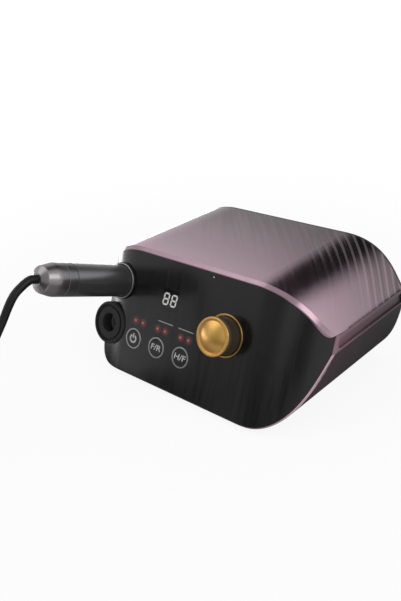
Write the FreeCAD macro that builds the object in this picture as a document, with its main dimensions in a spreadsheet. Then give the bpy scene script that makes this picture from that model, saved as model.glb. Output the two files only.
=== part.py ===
import FreeCAD, Part
import math
import os
import re
import Sketcher
from FreeCAD import Placement, Rotation, Vector

# Desktop nail drill machine: a formed metal housing with a tilted gloss front,
# a speed knob, three keys, a handpiece in its holder, and the handpiece's cord.
# Origin on the table under the middle of the housing, front towards -Y, +Z up, millimetres.

doc = FreeCAD.newDocument("nail_drill_machine")
sheet = doc.addObject("Spreadsheet::Sheet", "Sizes")

SIZES = {
    # Housing section and length
    "body_width": 200.0,
    "body_height": 88.0,
    "body_depth": 143.0,
    "front_tilt": 21.2,
    "foot_height": 3.0,
    "shoulder_span": 48.0,
    "flank_span": 36.0,
    "shoulder_reach": 0.77,
    "shoulder_drop": 0.06,
    "brim_lean": 0.12,
    "flank_reach": 0.70,
    "flank_drop": 0.55,
    "flank_lean": 0.12,
    "rail_top": 56.0,
    "rail_bottom": 44.0,
    "rail_recess": 1.5,
    "rail_depth": 3.5,
    "rail_rim_top": 3.0,
    "rail_rim_low": 1.5,
    "rail_nose": 0.8,
    "corner_inset": 43.0,
    "corner_radius": 44.0,
    "wall": 2.3,
    "edge_chamfer": 1.9,
    "low_edge_chamfer": 0.8,
    "low_edge_wall": 1.15,
    "seam_gap": 0.15,
    # Rear cover
    "cover_length": 4.0,
    "cover_round": 3.0,
    "cover_wall": 3.0,
    # Front panel
    "panel_thick": 3.0,
    "panel_edge_depth": 4.0,
    "hole_gap": 0.15,
    # Feet and case screws
    "foot_radius": 7.0,
    "foot_peg_radius": 3.0,
    "foot_peg_height": 1.5,
    "foot_inset_x": 44.0,
    "foot_spread_y": 104.0,
    "screw_radius": 1.5,
    "screw_length": 14.0,
    "screw_head_radius": 2.8,
    "screw_head_height": 1.6,
    "screw_inset_x": 53.0,
    "screw_spread_y": 66.0,
    "screw_shift_y": 8.0,
    "post_radius": 4.0,
    # Speed knob and its control
    "knob_x": 35.0,
    "knob_s": 53.8,
    "knob_radius": 12.9,
    "knob_height": 11.0,
    "knob_recess_radius": 8.5,
    "knob_recess_height": 3.0,
    "knob_lift": 0.6,
    "knob_neck": 1.0,
    "bore_top": 7.5,
    "shaft_seat": 1.0,
    "cap_radius": 13.2,
    "cap_rim": 2.4,
    "cap_dome": 2.2,
    "cap_edge": 0.7,
    "cap_rim_width": 2.2,
    "bezel_radius": 14.6,
    "bezel_width": 1.2,
    "bezel_height": 1.2,
    "shaft_radius": 3.0,
    "shaft_gap": 0.06,
    "bushing_radius": 3.6,
    "bushing_reach": 2.4,
    "nut_width": 10.0,
    "nut_height": 2.0,
    "control_width": 11.0,
    "control_depth": 12.0,
    # Keys
    "key_inset": 54.0,
    "key_s": 27.8,
    "key_pitch": 23.4,
    "key_radius": 6.2,
    "key_gap": 0.3,
    "key_proud": 0.5,
    "key_travel": 0.8,
    "key_flange": 1.0,
    "key_flange_height": 1.0,
    "key_stop": 0.2,
    "key_bevel": 0.4,
    "key_ring_radius": 7.1,
    "key_ring_height": 0.35,
    "plunger_radius": 1.6,
    "switch_size": 6.0,
    "switch_height": 3.6,
    # Display and lamps
    "display_inset": 82.5,
    "display_s": 64.2,
    "display_width": 15.0,
    "display_height": 14.0,
    "lens_thick": 1.2,
    "lamp_inset": 57.2,
    "lamp_s": 41.5,
    "lamp_pitch": 22.3,
    "lamp_pair": 7.4,
    "lamp_radius": 1.5,
    "lamp_flange": 0.4,
    "lamp_tip": 0.5,
    # Control board
    "board_thick": 1.6,
    "board_face": 8.4,
    "board_inset": 49.5,
    "board_right": 52.0,
    "board_low": 14.0,
    "board_high": 78.0,
    "spacer_radius": 2.6,
    "spacer_inset": 4.0,
    # Handpiece socket
    "socket_inset": 27.0,
    "socket_s": 32.4,
    "socket_radius": 16.0,
    "socket_proud": 1.5,
    "socket_depth": 17.5,
    "socket_edge": 0.8,
    "socket_lip": 0.5,
    "insert_ledge": 1.5,
    "insert_thick": 4.0,
    "socket_groove_outer": 14.0,
    "socket_groove_inner": 11.8,
    "socket_groove_depth": 1.6,
    "plug_radius": 7.1,
    "plug_gap": 0.1,
    "plug_reach": 9.0,
    "contact_circle": 3.6,
    "contact_step": 45.0,
    "contact_radius": 0.8,
    "contact_tail": 3.5,
    # Handpiece holder
    "holder_inset": 32.6,
    "holder_s": 66.2,
    "holder_gap": 0.35,
    "holder_wall": 1.6,
    "holder_proud": 1.2,
    "holder_floor": 2.0,
    "holder_ring_height": 1.2,
    "holder_ring_step": 0.4,
    "rest_gap": 0.3,
    "fit_gap": 0.05,
    # Handpiece, measured along its axis from the collet's tip
    "grip_radius": 11.75,
    "grip_wall": 1.5,
    "stored_depth": 69.0,
    "collet_radius": 3.2,
    "collet_length": 22.0,
    "collet_show": 3.0,
    "collet_bevel": 0.7,
    "bit_radius": 1.19,
    "bit_depth": 16.0,
    "nose_tip_radius": 4.6,
    "nose_base_radius": 8.2,
    "nose_length": 22.0,
    "lock_radius": 10.2,
    "lock_core_radius": 8.4,
    "lock_length": 12.0,
    "lock_gap": 0.3,
    "neck_radius": 9.6,
    "neck_length": 9.0,
    "grip_bevel": 1.2,
    "grip_length": 74.0,
    "trim_length": 1.2,
    "trim_step": 0.3,
    "tail_length": 12.5,
    "tail_taper": 9.5,
    "tail_rim_radius": 9.7,
    "tail_cone": 2.8,
    "tail_end_radius": 4.3,
    "tail_wall": 1.8,
    # Drive inside the handpiece
    "spindle_radius": 2.4,
    "bearing_radius": 7.25,
    "bearing_width": 5.0,
    "motor_start": 66.0,
    "motor_length": 38.0,
    "motor_radius": 9.9,
    "motor_wall": 2.5,
    "rotor_gap": 1.1,
    # Cord
    "cord_radius": 2.5,
    "relief_length": 0.8,
    "relief_base_radius": 3.3,
    "relief_end_radius": 2.8,
    "floor_gap": 0.05,
    "coil_x": -105.0,
    "coil_y": -207.0,
    "coil_radius": 34.0,
    "coil_pitch": 5.5,
    "coil_layer_turns": 2.75,
    "coil_dip": 1.5,
    "coil_lead": 24.0,
    "coil_layer_rise": 5.5,
    "plug_body_radius": 7.6,
    "plug_body_length": 30.0,
    "plug_step": 1.0,
    "plug_taper": 6.0,
    "plug_shell": 0.8,
    # Rear fittings
    "rear_z": 46.0,
    "rocker_x": 58.0,
    "rocker_width": 13.0,
    "rocker_height": 19.4,
    "rocker_frame": 2.2,
    "rocker_frame_proud": 1.6,
    "rocker_depth": 11.0,
    "rocker_wall": 0.8,
    "rocker_heel": 5.0,
    "rocker_toe": 3.0,
    "rocker_lobe": 3.0,
    "rocker_dish": 1.6,
    "rocker_tilt": 9.0,
    "rocker_gap": 0.45,
    "inlet_x": 24.0,
    "inlet_width": 18.0,
    "inlet_height": 10.4,
    "inlet_flange": 3.0,
    "inlet_proud": 1.4,
    "inlet_depth": 14.0,
    "inlet_well": 12.0,
    "inlet_lobe": 3.9,
    "inlet_pin_radius": 1.18,
    "inlet_pin_pitch": 8.6,
    "inlet_pin_length": 8.0,
    "jack_x": -52.0,
    "jack_bore_radius": 1.8,
    "jack_nut_radius": 5.0,
    "jack_nut_height": 1.8,
    "jack_barrel_radius": 3.8,
    "jack_depth": 14.0,
    "jack_bore_depth": 13.0,
    "jack_case_size": 9.0,
    "vent_x": -14.0,
    "vent_slots": 7,
    "vent_pitch": 5.0,
    "vent_width": 2.2,
    "vent_height": 26.0,
    # Power board, transformer and cooling
    "main_board_x": -2.0,
    "main_board_y": 12.0,
    "main_board_width": 76.0,
    "main_board_depth": 72.0,
    "standoff_height": 6.0,
    "standoff_radius": 3.0,
    "standoff_inset": 5.0,
    "core_x": 14.0,
    "core_y": 12.0,
    "core_width": 40.0,
    "core_depth": 20.0,
    "core_height": 34.0,
    "core_leg": 7.0,
    "winding_gap": 0.4,
    "winding_overhang": 6.0,
    "capacitor_radius": 6.0,
    "capacitor_height": 16.0,
    "capacitor_x": -30.0,
    "capacitor_y": 36.0,
    "capacitor_pitch": 15.0,
    "sink_x": -23.0,
    "sink_y": -6.0,
    "sink_width": 30.0,
    "sink_depth": 12.0,
    "sink_height": 22.0,
    "sink_fins": 5,
    "sink_fin": 1.4,
    "sink_base": 3.0,
}

for row, (alias, given) in enumerate(SIZES.items(), start=1):
    sheet.set(f"A{row}", alias)
    sheet.set(f"B{row}", str(given))
    sheet.setAlias(f"B{row}", alias)
doc.recompute()

SUB_PARTS = []


def size(alias):
    """Read one size from the sheet."""
    return float(getattr(sheet, alias))


def bind(text):
    """Turn a formula of plain size names into one that reads the sheet."""
    return re.sub(r"\b[a-z][a-z_]*\b", lambda word: word.group(0) if word.group(0) in ("sin", "cos", "tan")
                  else "Sizes." + word.group(0), text)


def number(text):
    """Work out a formula of size names."""
    return float(sheet.evalExpression(bind(text)))


def keep(thing, label):
    """List a finished object as a sub-part under its own name."""
    thing.Label = label
    SUB_PARTS.append(thing)
    return thing


def place(thing, x="0", y="0", z="0", axis=None, angle="0"):
    """Bind an object's place, and its turn about one axis, to formulas."""
    if axis is not None:
        thing.Placement = Placement(Vector(), Rotation(Vector(*axis), number(angle)))
        thing.setExpression("Placement.Rotation.Angle", bind(angle))
    for letter, text in zip("xyz", (x, y, z)):
        if text != "0":
            thing.setExpression("Placement.Base." + letter, bind(text))
    return thing


def place_on_panel(thing, x, s, n="0"):
    """Place an object by its spot on the tilted front: s runs up the panel and n points out of it."""
    return place(
        thing,
        x,
        f"-body_depth / 2 + ({s}) * sin(front_tilt) - ({n}) * cos(front_tilt)",
        f"foot_height + ({s}) * cos(front_tilt) + ({n}) * sin(front_tilt)",
        (1, 0, 0),
        "90 - front_tilt",
    )


def primitive(kind, name, sizes, x="0", y="0", z="0", axis=None, angle="0"):
    """Make a bound solid primitive, such as a box, cylinder or cone."""
    thing = doc.addObject("Part::" + kind, name)
    for field, text in sizes.items():
        thing.setExpression(field, bind(text))
    return place(thing, x, y, z, axis, angle)


def cylinder(name, radius, height, x="0", y="0", z="0", axis=None, angle="0"):
    """Make a bound cylinder that stands on its place along Z unless turned."""
    return primitive("Cylinder", name, {"Radius": radius, "Height": height}, x, y, z, axis, angle)


def box(name, length, width, height, x="0", y="0", z="0"):
    """Make a bound box whose place is the middle of its lowest face."""
    low_x = f"{x} - ({length}) / 2"
    low_y = f"{y} - ({width}) / 2"
    return primitive("Box", name, {"Length": length, "Width": width, "Height": height}, low_x, low_y, z)


def fuse(name, *things):
    """Join objects into one."""
    joined = doc.addObject("Part::MultiFuse", name)
    joined.Shapes = list(things)
    return joined


def group(name, *things):
    """Hold equal solids together as one sub-part, each still a solid of its own."""
    held = doc.addObject("Part::Compound", name)
    held.Links = list(things)
    return held


def cut(name, base, *tools):
    """Take one or more objects away from another."""
    taken = doc.addObject("Part::Cut", name)
    taken.Base = base
    taken.Tool = tools[0] if len(tools) == 1 else fuse(name + "_tools", *tools)
    return taken


def bend_edge(start, end, radius):
    """Arc from start to end; a positive radius bulges to the left of the way from start to end."""
    chord = end - start
    middle = (start + end) / 2
    left = Vector(-chord.y, chord.x, 0).normalize()
    rise = abs(radius) - math.sqrt(max(radius * radius - chord.Length ** 2 / 4, 0))
    return Part.Arc(start, middle + left * math.copysign(rise, radius), end)


def draw(sketch, corners):
    """Draw a closed outline of corners (x, y), or (x, y, radius) where an arc leaves the corner."""
    spots = [Vector(number(c[0]), number(c[1]), 0) for c in corners]
    ends = []
    for index, corner in enumerate(corners):
        start, end = spots[index], spots[(index + 1) % len(spots)]
        if len(corner) == 3:
            edge = sketch.addGeometry(bend_edge(start, end, number(corner[2])), False)
        else:
            edge = sketch.addGeometry(Part.LineSegment(start, end), False)
        first = 1 if sketch.getPoint(edge, 1).distanceToPoint(start) < 1e-6 else 2
        ends.append((edge, first, 3 - first))
    for index, corner in enumerate(corners):
        edge, first, last = ends[index]
        following = ends[(index + 1) % len(ends)]
        sketch.addConstraint(Sketcher.Constraint("Coincident", edge, last, following[0], following[1]))
        for kind, axis_line, text, now in (
            ("DistanceX", -2, corner[0], spots[index].x),
            ("DistanceY", -1, corner[1], spots[index].y),
        ):
            if text == "0":
                sketch.addConstraint(Sketcher.Constraint("PointOnObject", edge, first, axis_line))
            else:
                rule = sketch.addConstraint(Sketcher.Constraint(kind, -1, 1, edge, first, now))
                sketch.setExpression(f"Constraints[{rule}]", bind(text))
        if len(corner) == 3:
            rule = sketch.addConstraint(Sketcher.Constraint("Radius", edge, abs(number(corner[2]))))
            sketch.setExpression(f"Constraints[{rule}]", bind(corner[2].lstrip("-")))


def sketch_in(body, plane, name):
    """Start a sketch on one of a body's own origin planes."""
    sketch = body.newObject("Sketcher::SketchObject", name)
    origin_plane = next(item for item in body.Origin.OriginFeatures if item.Role == plane)
    sketch.AttachmentSupport = [(origin_plane, "")]
    sketch.MapMode = "FlatFace"
    return sketch


def turned(name, corners):
    """Make a round piece: corners (radius, height) are turned about the piece's Z axis."""
    body = doc.addObject("PartDesign::Body", name)
    sketch = sketch_in(body, "XZ_Plane", name + "_profile")
    draw(sketch, corners)
    turn = body.newObject("PartDesign::Revolution", name + "_turn")
    turn.Profile = sketch
    turn.ReferenceAxis = (sketch, ["V_Axis"])
    turn.Angle = 360
    sketch.Visibility = False
    return body


# Housing


class Section:
    """The housing's section across its width, a little inside or outside of its surface."""

    def __init__(self, inset, low_inset=None, tab_gap=0.0):
        """The part below the brim can lie further out than the part above; tab_gap lowers where it starts."""
        low_inset = inset if low_inset is None else low_inset
        self.half = size("body_width") / 2 - inset
        self.low_half = size("body_width") / 2 - low_inset
        self.low = size("foot_height") + low_inset
        self.high = size("foot_height") + size("body_height") - inset
        self.top_flat = size("body_width") / 2 - size("shoulder_span")
        self.bottom_flat = size("body_width") / 2 - size("flank_span")
        self.rail_high = size("foot_height") + size("rail_top")
        self.rail_low = size("foot_height") + size("rail_bottom")
        self.tab_high = self.rail_high - tab_gap

    def shoulder(self, y, side=1):
        """Curve from the flat top, over the shoulder and out to the brim above the side rail."""
        flat = self.top_flat
        span = self.half - flat
        drop = self.high - self.rail_high
        poles = (
            (flat, self.high),
            (flat + size("shoulder_reach") * span, self.high),
            (self.half - size("brim_lean") * span, self.rail_high + size("shoulder_drop") * drop),
            (self.half, self.rail_high),
        )
        return bezier(poles, y, side)

    def flank(self, y, side=1):
        """Curve from below the side rail, down the flank and round to the flat underside."""
        flat = self.bottom_flat
        span = self.low_half - flat
        drop = self.rail_low - self.low
        poles = (
            (self.low_half, self.rail_low),
            (self.low_half - size("flank_lean") * span, self.rail_low - size("flank_drop") * drop),
            (flat + size("flank_reach") * span, self.low),
            (flat, self.low),
        )
        return bezier(poles, y, side)

    def whole(self, y):
        """The closed section, with the rail's place bridged by straight lines on each side."""
        edges = [
            straight((-self.top_flat, self.high), (self.top_flat, self.high), y),
            straight((-self.bottom_flat, self.low), (self.bottom_flat, self.low), y),
        ]
        bridge = [(self.half, self.rail_high), (self.half, self.tab_high), (self.low_half, self.tab_high),
                  (self.low_half, self.rail_low)]
        for side in (-1, 1):
            edges += [self.shoulder(y, side), self.flank(y, side)]
            for start, end in zip(bridge, bridge[1:]):
                if start != end:
                    edges.append(straight((side * start[0], start[1]), (side * end[0], end[1]), y))
        return Part.Wire(Part.__sortEdges__(edges))


def bezier(poles, y, side):
    """Cubic curve in the plane across the housing at depth y, mirrored for the left side."""
    curve = Part.BezierCurve()
    curve.setPoles([Vector(side * px, y, pz) for px, pz in poles])
    return curve.toShape()


def straight(start, end, y):
    """Straight edge in the plane across the housing at depth y."""
    return Part.makeLine(Vector(start[0], y, start[1]), Vector(end[0], y, end[1]))


# How far a cutting shape runs past the face that it opens, how far a joined piece sinks into its
# neighbour, how near a point counts as on a face, and the size of a shape larger than the housing
OVERLAP = 1.0
SINK = 0.5
NEAR = 0.02
BEYOND = size("body_width") + size("body_depth")


def front_flat():
    """How far the flat middle of the front reaches to each side, before its corners turn back."""
    return size("body_width") / 2 - size("corner_inset")


def front_space(shift):
    """Everything in front of the tilted, corner-rounded front surface, moved back by shift."""
    reach = BEYOND
    flat = front_flat()
    radius = size("corner_radius") - shift
    front = -size("body_depth") / 2 + shift
    side = flat + radius
    turn = math.sqrt(0.5) * radius
    centre_y = front + radius
    edges = [
        Part.makeLine(Vector(-flat, front, 0), Vector(flat, front, 0)),
        Part.Arc(Vector(flat, front, 0), Vector(flat + turn, centre_y - turn, 0),
                 Vector(side, centre_y, 0)).toShape(),
        Part.makeLine(Vector(side, centre_y, 0), Vector(reach, centre_y, 0)),
        Part.makeLine(Vector(reach, centre_y, 0), Vector(reach, -reach, 0)),
        Part.makeLine(Vector(reach, -reach, 0), Vector(-reach, -reach, 0)),
        Part.makeLine(Vector(-reach, -reach, 0), Vector(-reach, centre_y, 0)),
        Part.makeLine(Vector(-reach, centre_y, 0), Vector(-side, centre_y, 0)),
        Part.Arc(Vector(-side, centre_y, 0), Vector(-flat - turn, centre_y - turn, 0),
                 Vector(-flat, front, 0)).toShape(),
    ]
    face = Part.Face(Part.Wire(Part.__sortEdges__(edges)))
    face.translate(UP_PANEL * (-reach / 4) + Vector(0, 0, size("foot_height")))
    return face.extrude(UP_PANEL * reach)


def front_y(x, z):
    """Depth of the front surface at a place across and up the housing."""
    past = max(abs(x) - front_flat(), 0)
    radius = size("corner_radius")
    back = radius - math.sqrt(max(radius * radius - past * past, 0))
    return -size("body_depth") / 2 + (z - size("foot_height")) * math.tan(TILT) + back


def prism(section, start, end):
    """The section's whole area run along the housing between two depths."""
    return Part.Face(section.whole(start)).extrude(Vector(0, end - start, 0))


def block(low, high):
    """Box between two corners."""
    return Part.makeBox(*(high - low), low)


def both_sides(shape):
    """A shape and its mirror image across the housing's middle."""
    return [shape, shape.mirror(Vector(), Vector(1, 0, 0))]


def on_panel(x, s, n):
    """Point in space for a spot on the tilted front."""
    base = Vector(x, -size("body_depth") / 2, size("foot_height"))
    return base + UP_PANEL * s + OUT_PANEL * n


def panel_hole(x, s, radius):
    """Cylinder square to the tilted front, used to open it."""
    reach = size("corner_radius") + OVERLAP
    return Part.makeCylinder(radius, 2 * reach, on_panel(x, s, -reach), OUT_PANEL)


def feature(name, shape):
    """Show a built-up shape as an object of the document."""
    thing = doc.addObject("Part::Feature", name)
    thing.Shape = shape
    return thing


def edge_chamfer(shell, bevel):
    """Bevel the outer front edge of a housing shell, the bright line round the front."""
    outer = Section(0)
    rim = []
    for edge in shell.Edges:
        spots = [edge.valueAt(edge.FirstParameter + share * (edge.LastParameter - edge.FirstParameter))
                 for share in (0.3, 0.7)]
        on_front = all(abs(spot.y - front_y(spot.x, spot.z)) < NEAR for spot in spots)
        on_skin = all(outer_distance(spot, outer) < NEAR for spot in spots)
        if on_front and on_skin:
            rim.append(edge)
    return shell.makeChamfer(bevel, rim)


def outer_distance(spot, section):
    """How far a point lies from the section's outline."""
    return section.whole(spot.y).distToShape(Part.Vertex(spot))[0]


TILT = math.radians(size("front_tilt"))
UP_PANEL = Vector(0, math.sin(TILT), math.cos(TILT))
OUT_PANEL = Vector(0, -math.cos(TILT), math.sin(TILT))
HALF_WIDTH = size("body_width") / 2
REAR = size("body_depth") / 2
SEAM_REAR = REAR - size("cover_length")
FLOOR_TOP = size("foot_height") + size("wall")
RAIL_HIGH = size("foot_height") + size("rail_top")
RAIL_LOW = size("foot_height") + size("rail_bottom")
LIP_X = HALF_WIDTH - size("rail_recess") - size("rail_depth")
FRONT = -REAR - OVERLAP
KEYS = 3
HOLDER_OUTER = "grip_radius + holder_gap + holder_wall"
HOLDER_X = "(holder_inset - body_width / 2)"
SOCKET_X = "(socket_inset - body_width / 2)"
KEY_X = "(key_inset - body_width / 2)"
LAMP_X = "(lamp_inset - body_width / 2)"
DISPLAY_X = "(display_inset - body_width / 2)"
BOARD_X = "(board_inset - body_width / 2)"
FOOT_X = "(body_width / 2 - foot_inset_x)"
SCREW_X = "(body_width / 2 - screw_inset_x)"


def corner_spots(reach_x, spread_y, shift_y=0.0):
    """Four places on a rectangle about the middle."""
    return [(sx * number(reach_x), sy * size(spread_y) / 2 + shift_y) for sx in (-1, 1) for sy in (-1, 1)]


SCREW_SPOTS = corner_spots(SCREW_X, "screw_spread_y", size("screw_shift_y"))
FOOT_SPOTS = corner_spots(FOOT_X, "foot_spread_y")


def shell_ring():
    """The formed metal skin, front end still square."""
    outer = prism(Section(0), FRONT, SEAM_REAR)
    inner = prism(Section(size("wall")), FRONT - OVERLAP, SEAM_REAR + OVERLAP)
    return outer, outer.cut(inner)


def rail_lip(low, high):
    """Inward lips that the side rails sit between, one on each side."""
    lip = block(Vector(LIP_X, FRONT, low), Vector(HALF_WIDTH, SEAM_REAR, high))
    return both_sides(lip)


def panel_space(gap):
    """The front panel's own thickness behind the front surface, with a gap; its turned edges end early."""
    depth = Vector(0, size("panel_edge_depth") + gap, 0)
    return front_space(size("panel_thick") + gap).common(front_space(0).translated(depth))


def panel_seat():
    """Space for the front panel with a gap round it, open to the front."""
    seat = Section(size("wall"), size("low_edge_wall"))
    return prism(seat, FRONT, REAR).common(panel_space(size("seam_gap")))


def upper_shell():
    """Top cover: flat top, two shoulders and brims, with posts for the case screws."""
    outer, ring = shell_ring()
    wide = HALF_WIDTH + OVERLAP
    half = block(Vector(-wide, FRONT - OVERLAP, RAIL_HIGH), Vector(wide, REAR, RAIL_HIGH + size("body_height")))
    shell = ring.common(half)
    lips = [lip.common(outer).cut(front_space(size("panel_thick") + size("seam_gap")))
            for lip in rail_lip(RAIL_HIGH, RAIL_HIGH + size("wall"))]
    shell = shell.cut(front_space(0))
    shell = edge_chamfer(shell, size("edge_chamfer"))
    ceiling = size("foot_height") + size("body_height") - size("wall")
    posts = []
    for x, y in SCREW_SPOTS:
        post = Part.makeCylinder(size("post_radius"), ceiling - FLOOR_TOP + SINK, Vector(x, y, FLOOR_TOP))
        drill = Part.makeCylinder(size("screw_radius"), size("screw_length"), Vector(x, y, FLOOR_TOP))
        posts.append(post.cut(drill))
    return shell.fuse(lips + posts).removeSplitter()


def lower_shell():
    """Bottom tray: flat underside and two flanks, with holes for screws and foot pegs."""
    outer, ring = shell_ring()
    wide = HALF_WIDTH + OVERLAP
    half = block(Vector(-wide, FRONT - OVERLAP, 0), Vector(wide, REAR, RAIL_LOW))
    shell = ring.common(half)
    lips = [lip.common(outer).cut(front_space(size("panel_thick") + size("seam_gap")))
            for lip in rail_lip(RAIL_LOW - size("wall"), RAIL_LOW)]
    shell = shell.cut(front_space(0))
    shell = edge_chamfer(shell, size("low_edge_chamfer"))
    shell = shell.fuse(lips).cut(panel_seat())
    low = size("foot_height")
    for x, y in SCREW_SPOTS:
        shell = shell.cut(Part.makeCylinder(size("screw_radius"), size("wall") + 2 * OVERLAP,
                                            Vector(x, y, low - OVERLAP)))
        sink = Part.makeCylinder(size("screw_head_radius"), size("screw_head_height"), Vector(x, y, low))
        shell = shell.cut(sink)
    for x, y in FOOT_SPOTS:
        peg = Part.makeCylinder(size("foot_peg_radius"), size("foot_peg_height"), Vector(x, y, low))
        shell = shell.cut(peg)
    return shell.removeSplitter()


def side_rail():
    """Right side rail: a trim strip with a raised rim round a channel, the channel's front end round."""
    skin = HALF_WIDTH - size("seam_gap")
    behind = HALF_WIDTH - size("wall")
    inner = block(Vector(LIP_X, FRONT, RAIL_LOW), Vector(behind, SEAM_REAR, RAIL_HIGH))
    inner = inner.cut(front_space(size("panel_thick") + size("seam_gap")))
    outer = block(Vector(behind, FRONT, RAIL_LOW), Vector(skin, SEAM_REAR, RAIL_HIGH))
    rail = inner.fuse(outer.cut(front_space(0))).cut(panel_seat())
    radius = (RAIL_HIGH - RAIL_LOW - size("rail_rim_top") - size("rail_rim_low")) / 2
    middle = RAIL_LOW + size("rail_rim_low") + radius
    front = front_y(skin, middle) + size("rail_nose") + radius
    floor = skin - size("rail_recess")
    slot = block(Vector(floor, front, middle - radius),
                 Vector(HALF_WIDTH + OVERLAP, SEAM_REAR + OVERLAP, middle + radius))
    end = Part.makeCylinder(radius, HALF_WIDTH + OVERLAP - floor, Vector(floor, front, middle), Vector(1, 0, 0))
    return rail.cut(slot.fuse(end))


def front_panel():
    """Gloss front: one sheet that follows the tilted face and turns back round both corners."""
    gap = size("seam_gap")
    body = prism(Section(size("wall") + gap, size("low_edge_wall") + gap, gap), FRONT, REAR)
    panel = body.common(panel_space(0).cut(front_space(0)))
    gap = size("hole_gap")
    holes = [
        panel_hole(size("knob_x"), size("knob_s"), size("bushing_radius") + gap),
        panel_hole(number(SOCKET_X), size("socket_s"), size("socket_radius") + gap),
        panel_hole(number(HOLDER_X), size("holder_s"), number(HOLDER_OUTER) + gap),
    ]
    for index in range(KEYS):
        x = number(KEY_X) + index * size("key_pitch")
        holes.append(panel_hole(x, size("key_s"), size("key_radius") + size("key_gap")))
    for x in lamp_places():
        holes.append(panel_hole(x, size("lamp_s"), size("lamp_radius") + gap))
    deep = size("panel_thick") + OVERLAP
    window = Part.makeBox(size("display_width") + 2 * gap, size("display_height") + 2 * gap, 2 * deep,
                          Vector(-size("display_width") / 2 - gap, -size("display_height") / 2 - gap, -deep))
    window.Placement = Placement(on_panel(number(DISPLAY_X), size("display_s"), 0),
                                 Rotation(Vector(1, 0, 0), 90 - size("front_tilt"))) * window.Placement
    holes.append(window)
    return panel.cut(holes)


def rear_cover():
    """Moulded rear cover: straight rim, rounded edge, hollow behind, open for fittings and air."""
    start_round = REAR - size("cover_round")
    rim = prism(Section(0), SEAM_REAR, start_round)
    steps = [math.radians(angle) for angle in range(0, 91, 30)]
    rings = [Section(size("cover_round") * (1 - math.cos(step))).whole(
        REAR - size("cover_round") * (1 - math.sin(step))) for step in steps]
    cover = rim.fuse(Part.makeLoft(rings, True, False))
    hollow = prism(Section(size("cover_wall")), SEAM_REAR - OVERLAP, REAR - size("cover_wall"))
    cover = cover.cut(hollow)
    z = size("rear_z")
    wide = size("rocker_width") + 2 * size("hole_gap")
    tall = size("rocker_height") + 2 * size("hole_gap")
    openings = [rear_block(size("rocker_x"), z, wide, tall)]
    wide = size("inlet_width") + 2 * size("hole_gap")
    tall = size("inlet_height") + 2 * size("hole_gap")
    openings.append(rear_block(size("inlet_x"), z, wide, tall))
    jack = Part.makeCylinder(size("jack_barrel_radius") + size("hole_gap"), size("cover_length") + 2 * OVERLAP,
                             Vector(size("jack_x"), SEAM_REAR - OVERLAP, z), Vector(0, 1, 0))
    openings.append(jack)
    slots = int(size("vent_slots"))
    for index in range(slots):
        x = size("vent_x") + (index - (slots - 1) / 2) * size("vent_pitch")
        openings.append(rear_block(x, z, size("vent_width"), size("vent_height")))
    return cover.cut(openings).removeSplitter()


def rear_block(x, z, wide, tall):
    """Upright opening through the rear face."""
    return block(Vector(x - wide / 2, SEAM_REAR - OVERLAP, z - tall / 2),
                 Vector(x + wide / 2, REAR + OVERLAP, z + tall / 2))


def lamp_places():
    """Places across the front of the six lamps, two for each key."""
    return [number(LAMP_X) + index * size("lamp_pitch") + side * size("lamp_pair") / 2
            for index in range(KEYS) for side in (-1, 1)]


keep(feature("upper_shell", upper_shell()), "upper_shell")
keep(feature("lower_shell", lower_shell()), "lower_shell")
rail = side_rail()
keep(feature("side_rail_right", rail), "side_rail_right")
keep(feature("side_rail_left", rail.mirror(Vector(), Vector(1, 0, 0))), "side_rail_left")
keep(feature("front_panel", front_panel()), "front_panel")
keep(feature("rear_cover", rear_cover()), "rear_cover")


# Front: lens, display, lamps and board

PANEL_DEPTH = "panel_thick * cos(front_tilt)"

lens = box("display_lens", "display_width", "display_height", "lens_thick")
keep(place_on_panel(lens, f"{DISPLAY_X} - display_width / 2", "display_s - display_height / 2", "-lens_thick"),
     "display_lens")

module = box("display_module", "display_width", "display_height", "board_face - lens_thick - seam_gap")
keep(place_on_panel(module, f"{DISPLAY_X} - display_width / 2", "display_s - display_height / 2", "-board_face"),
     "display_module")


def lamp(index, side):
    """One indicator lamp: a round body with a flange on the board and a bevelled tip in the panel."""
    name = f"lamp_{index}_{'b' if side > 0 else 'a'}"
    flange = cylinder(name + "_flange", "lamp_radius + lamp_flange", "lamp_flange")
    stem = cylinder(name + "_stem", "lamp_radius", "board_face - lamp_tip")
    tip = primitive("Cone", name + "_tip", {"Radius1": "lamp_radius", "Radius2": "lamp_radius - lamp_tip",
                                            "Height": "lamp_tip"}, z="board_face - lamp_tip")
    x = f"{LAMP_X} + {index} * lamp_pitch + ({side}) * lamp_pair / 2"
    return place_on_panel(fuse(name, flange, stem, tip), x, "lamp_s", "-board_face")


keep(group("indicator_lamps", *[lamp(index, side) for index in range(KEYS) for side in (-1, 1)]),
     "indicator_lamps")

board = box("control_board", f"board_right - {BOARD_X}", "board_high - board_low", "board_thick")
keep(place_on_panel(board, BOARD_X, "board_low", "-board_face - board_thick"), "control_board")

spacers = []
for across, x in enumerate((f"{BOARD_X} + spacer_inset", "board_right - spacer_inset")):
    for up, s in enumerate(("board_low + spacer_inset", "board_high - spacer_inset")):
        spacer = cylinder(f"spacer_{across}_{up}", "spacer_radius", f"board_face - {PANEL_DEPTH}")
        spacers.append(place_on_panel(spacer, x, s, "-board_face"))
keep(group("board_spacers", *spacers), "board_spacers")


# Keys

KEY_SEAT = f"(board_face - (key_travel + key_stop) - {PANEL_DEPTH} - seam_gap)"


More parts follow.
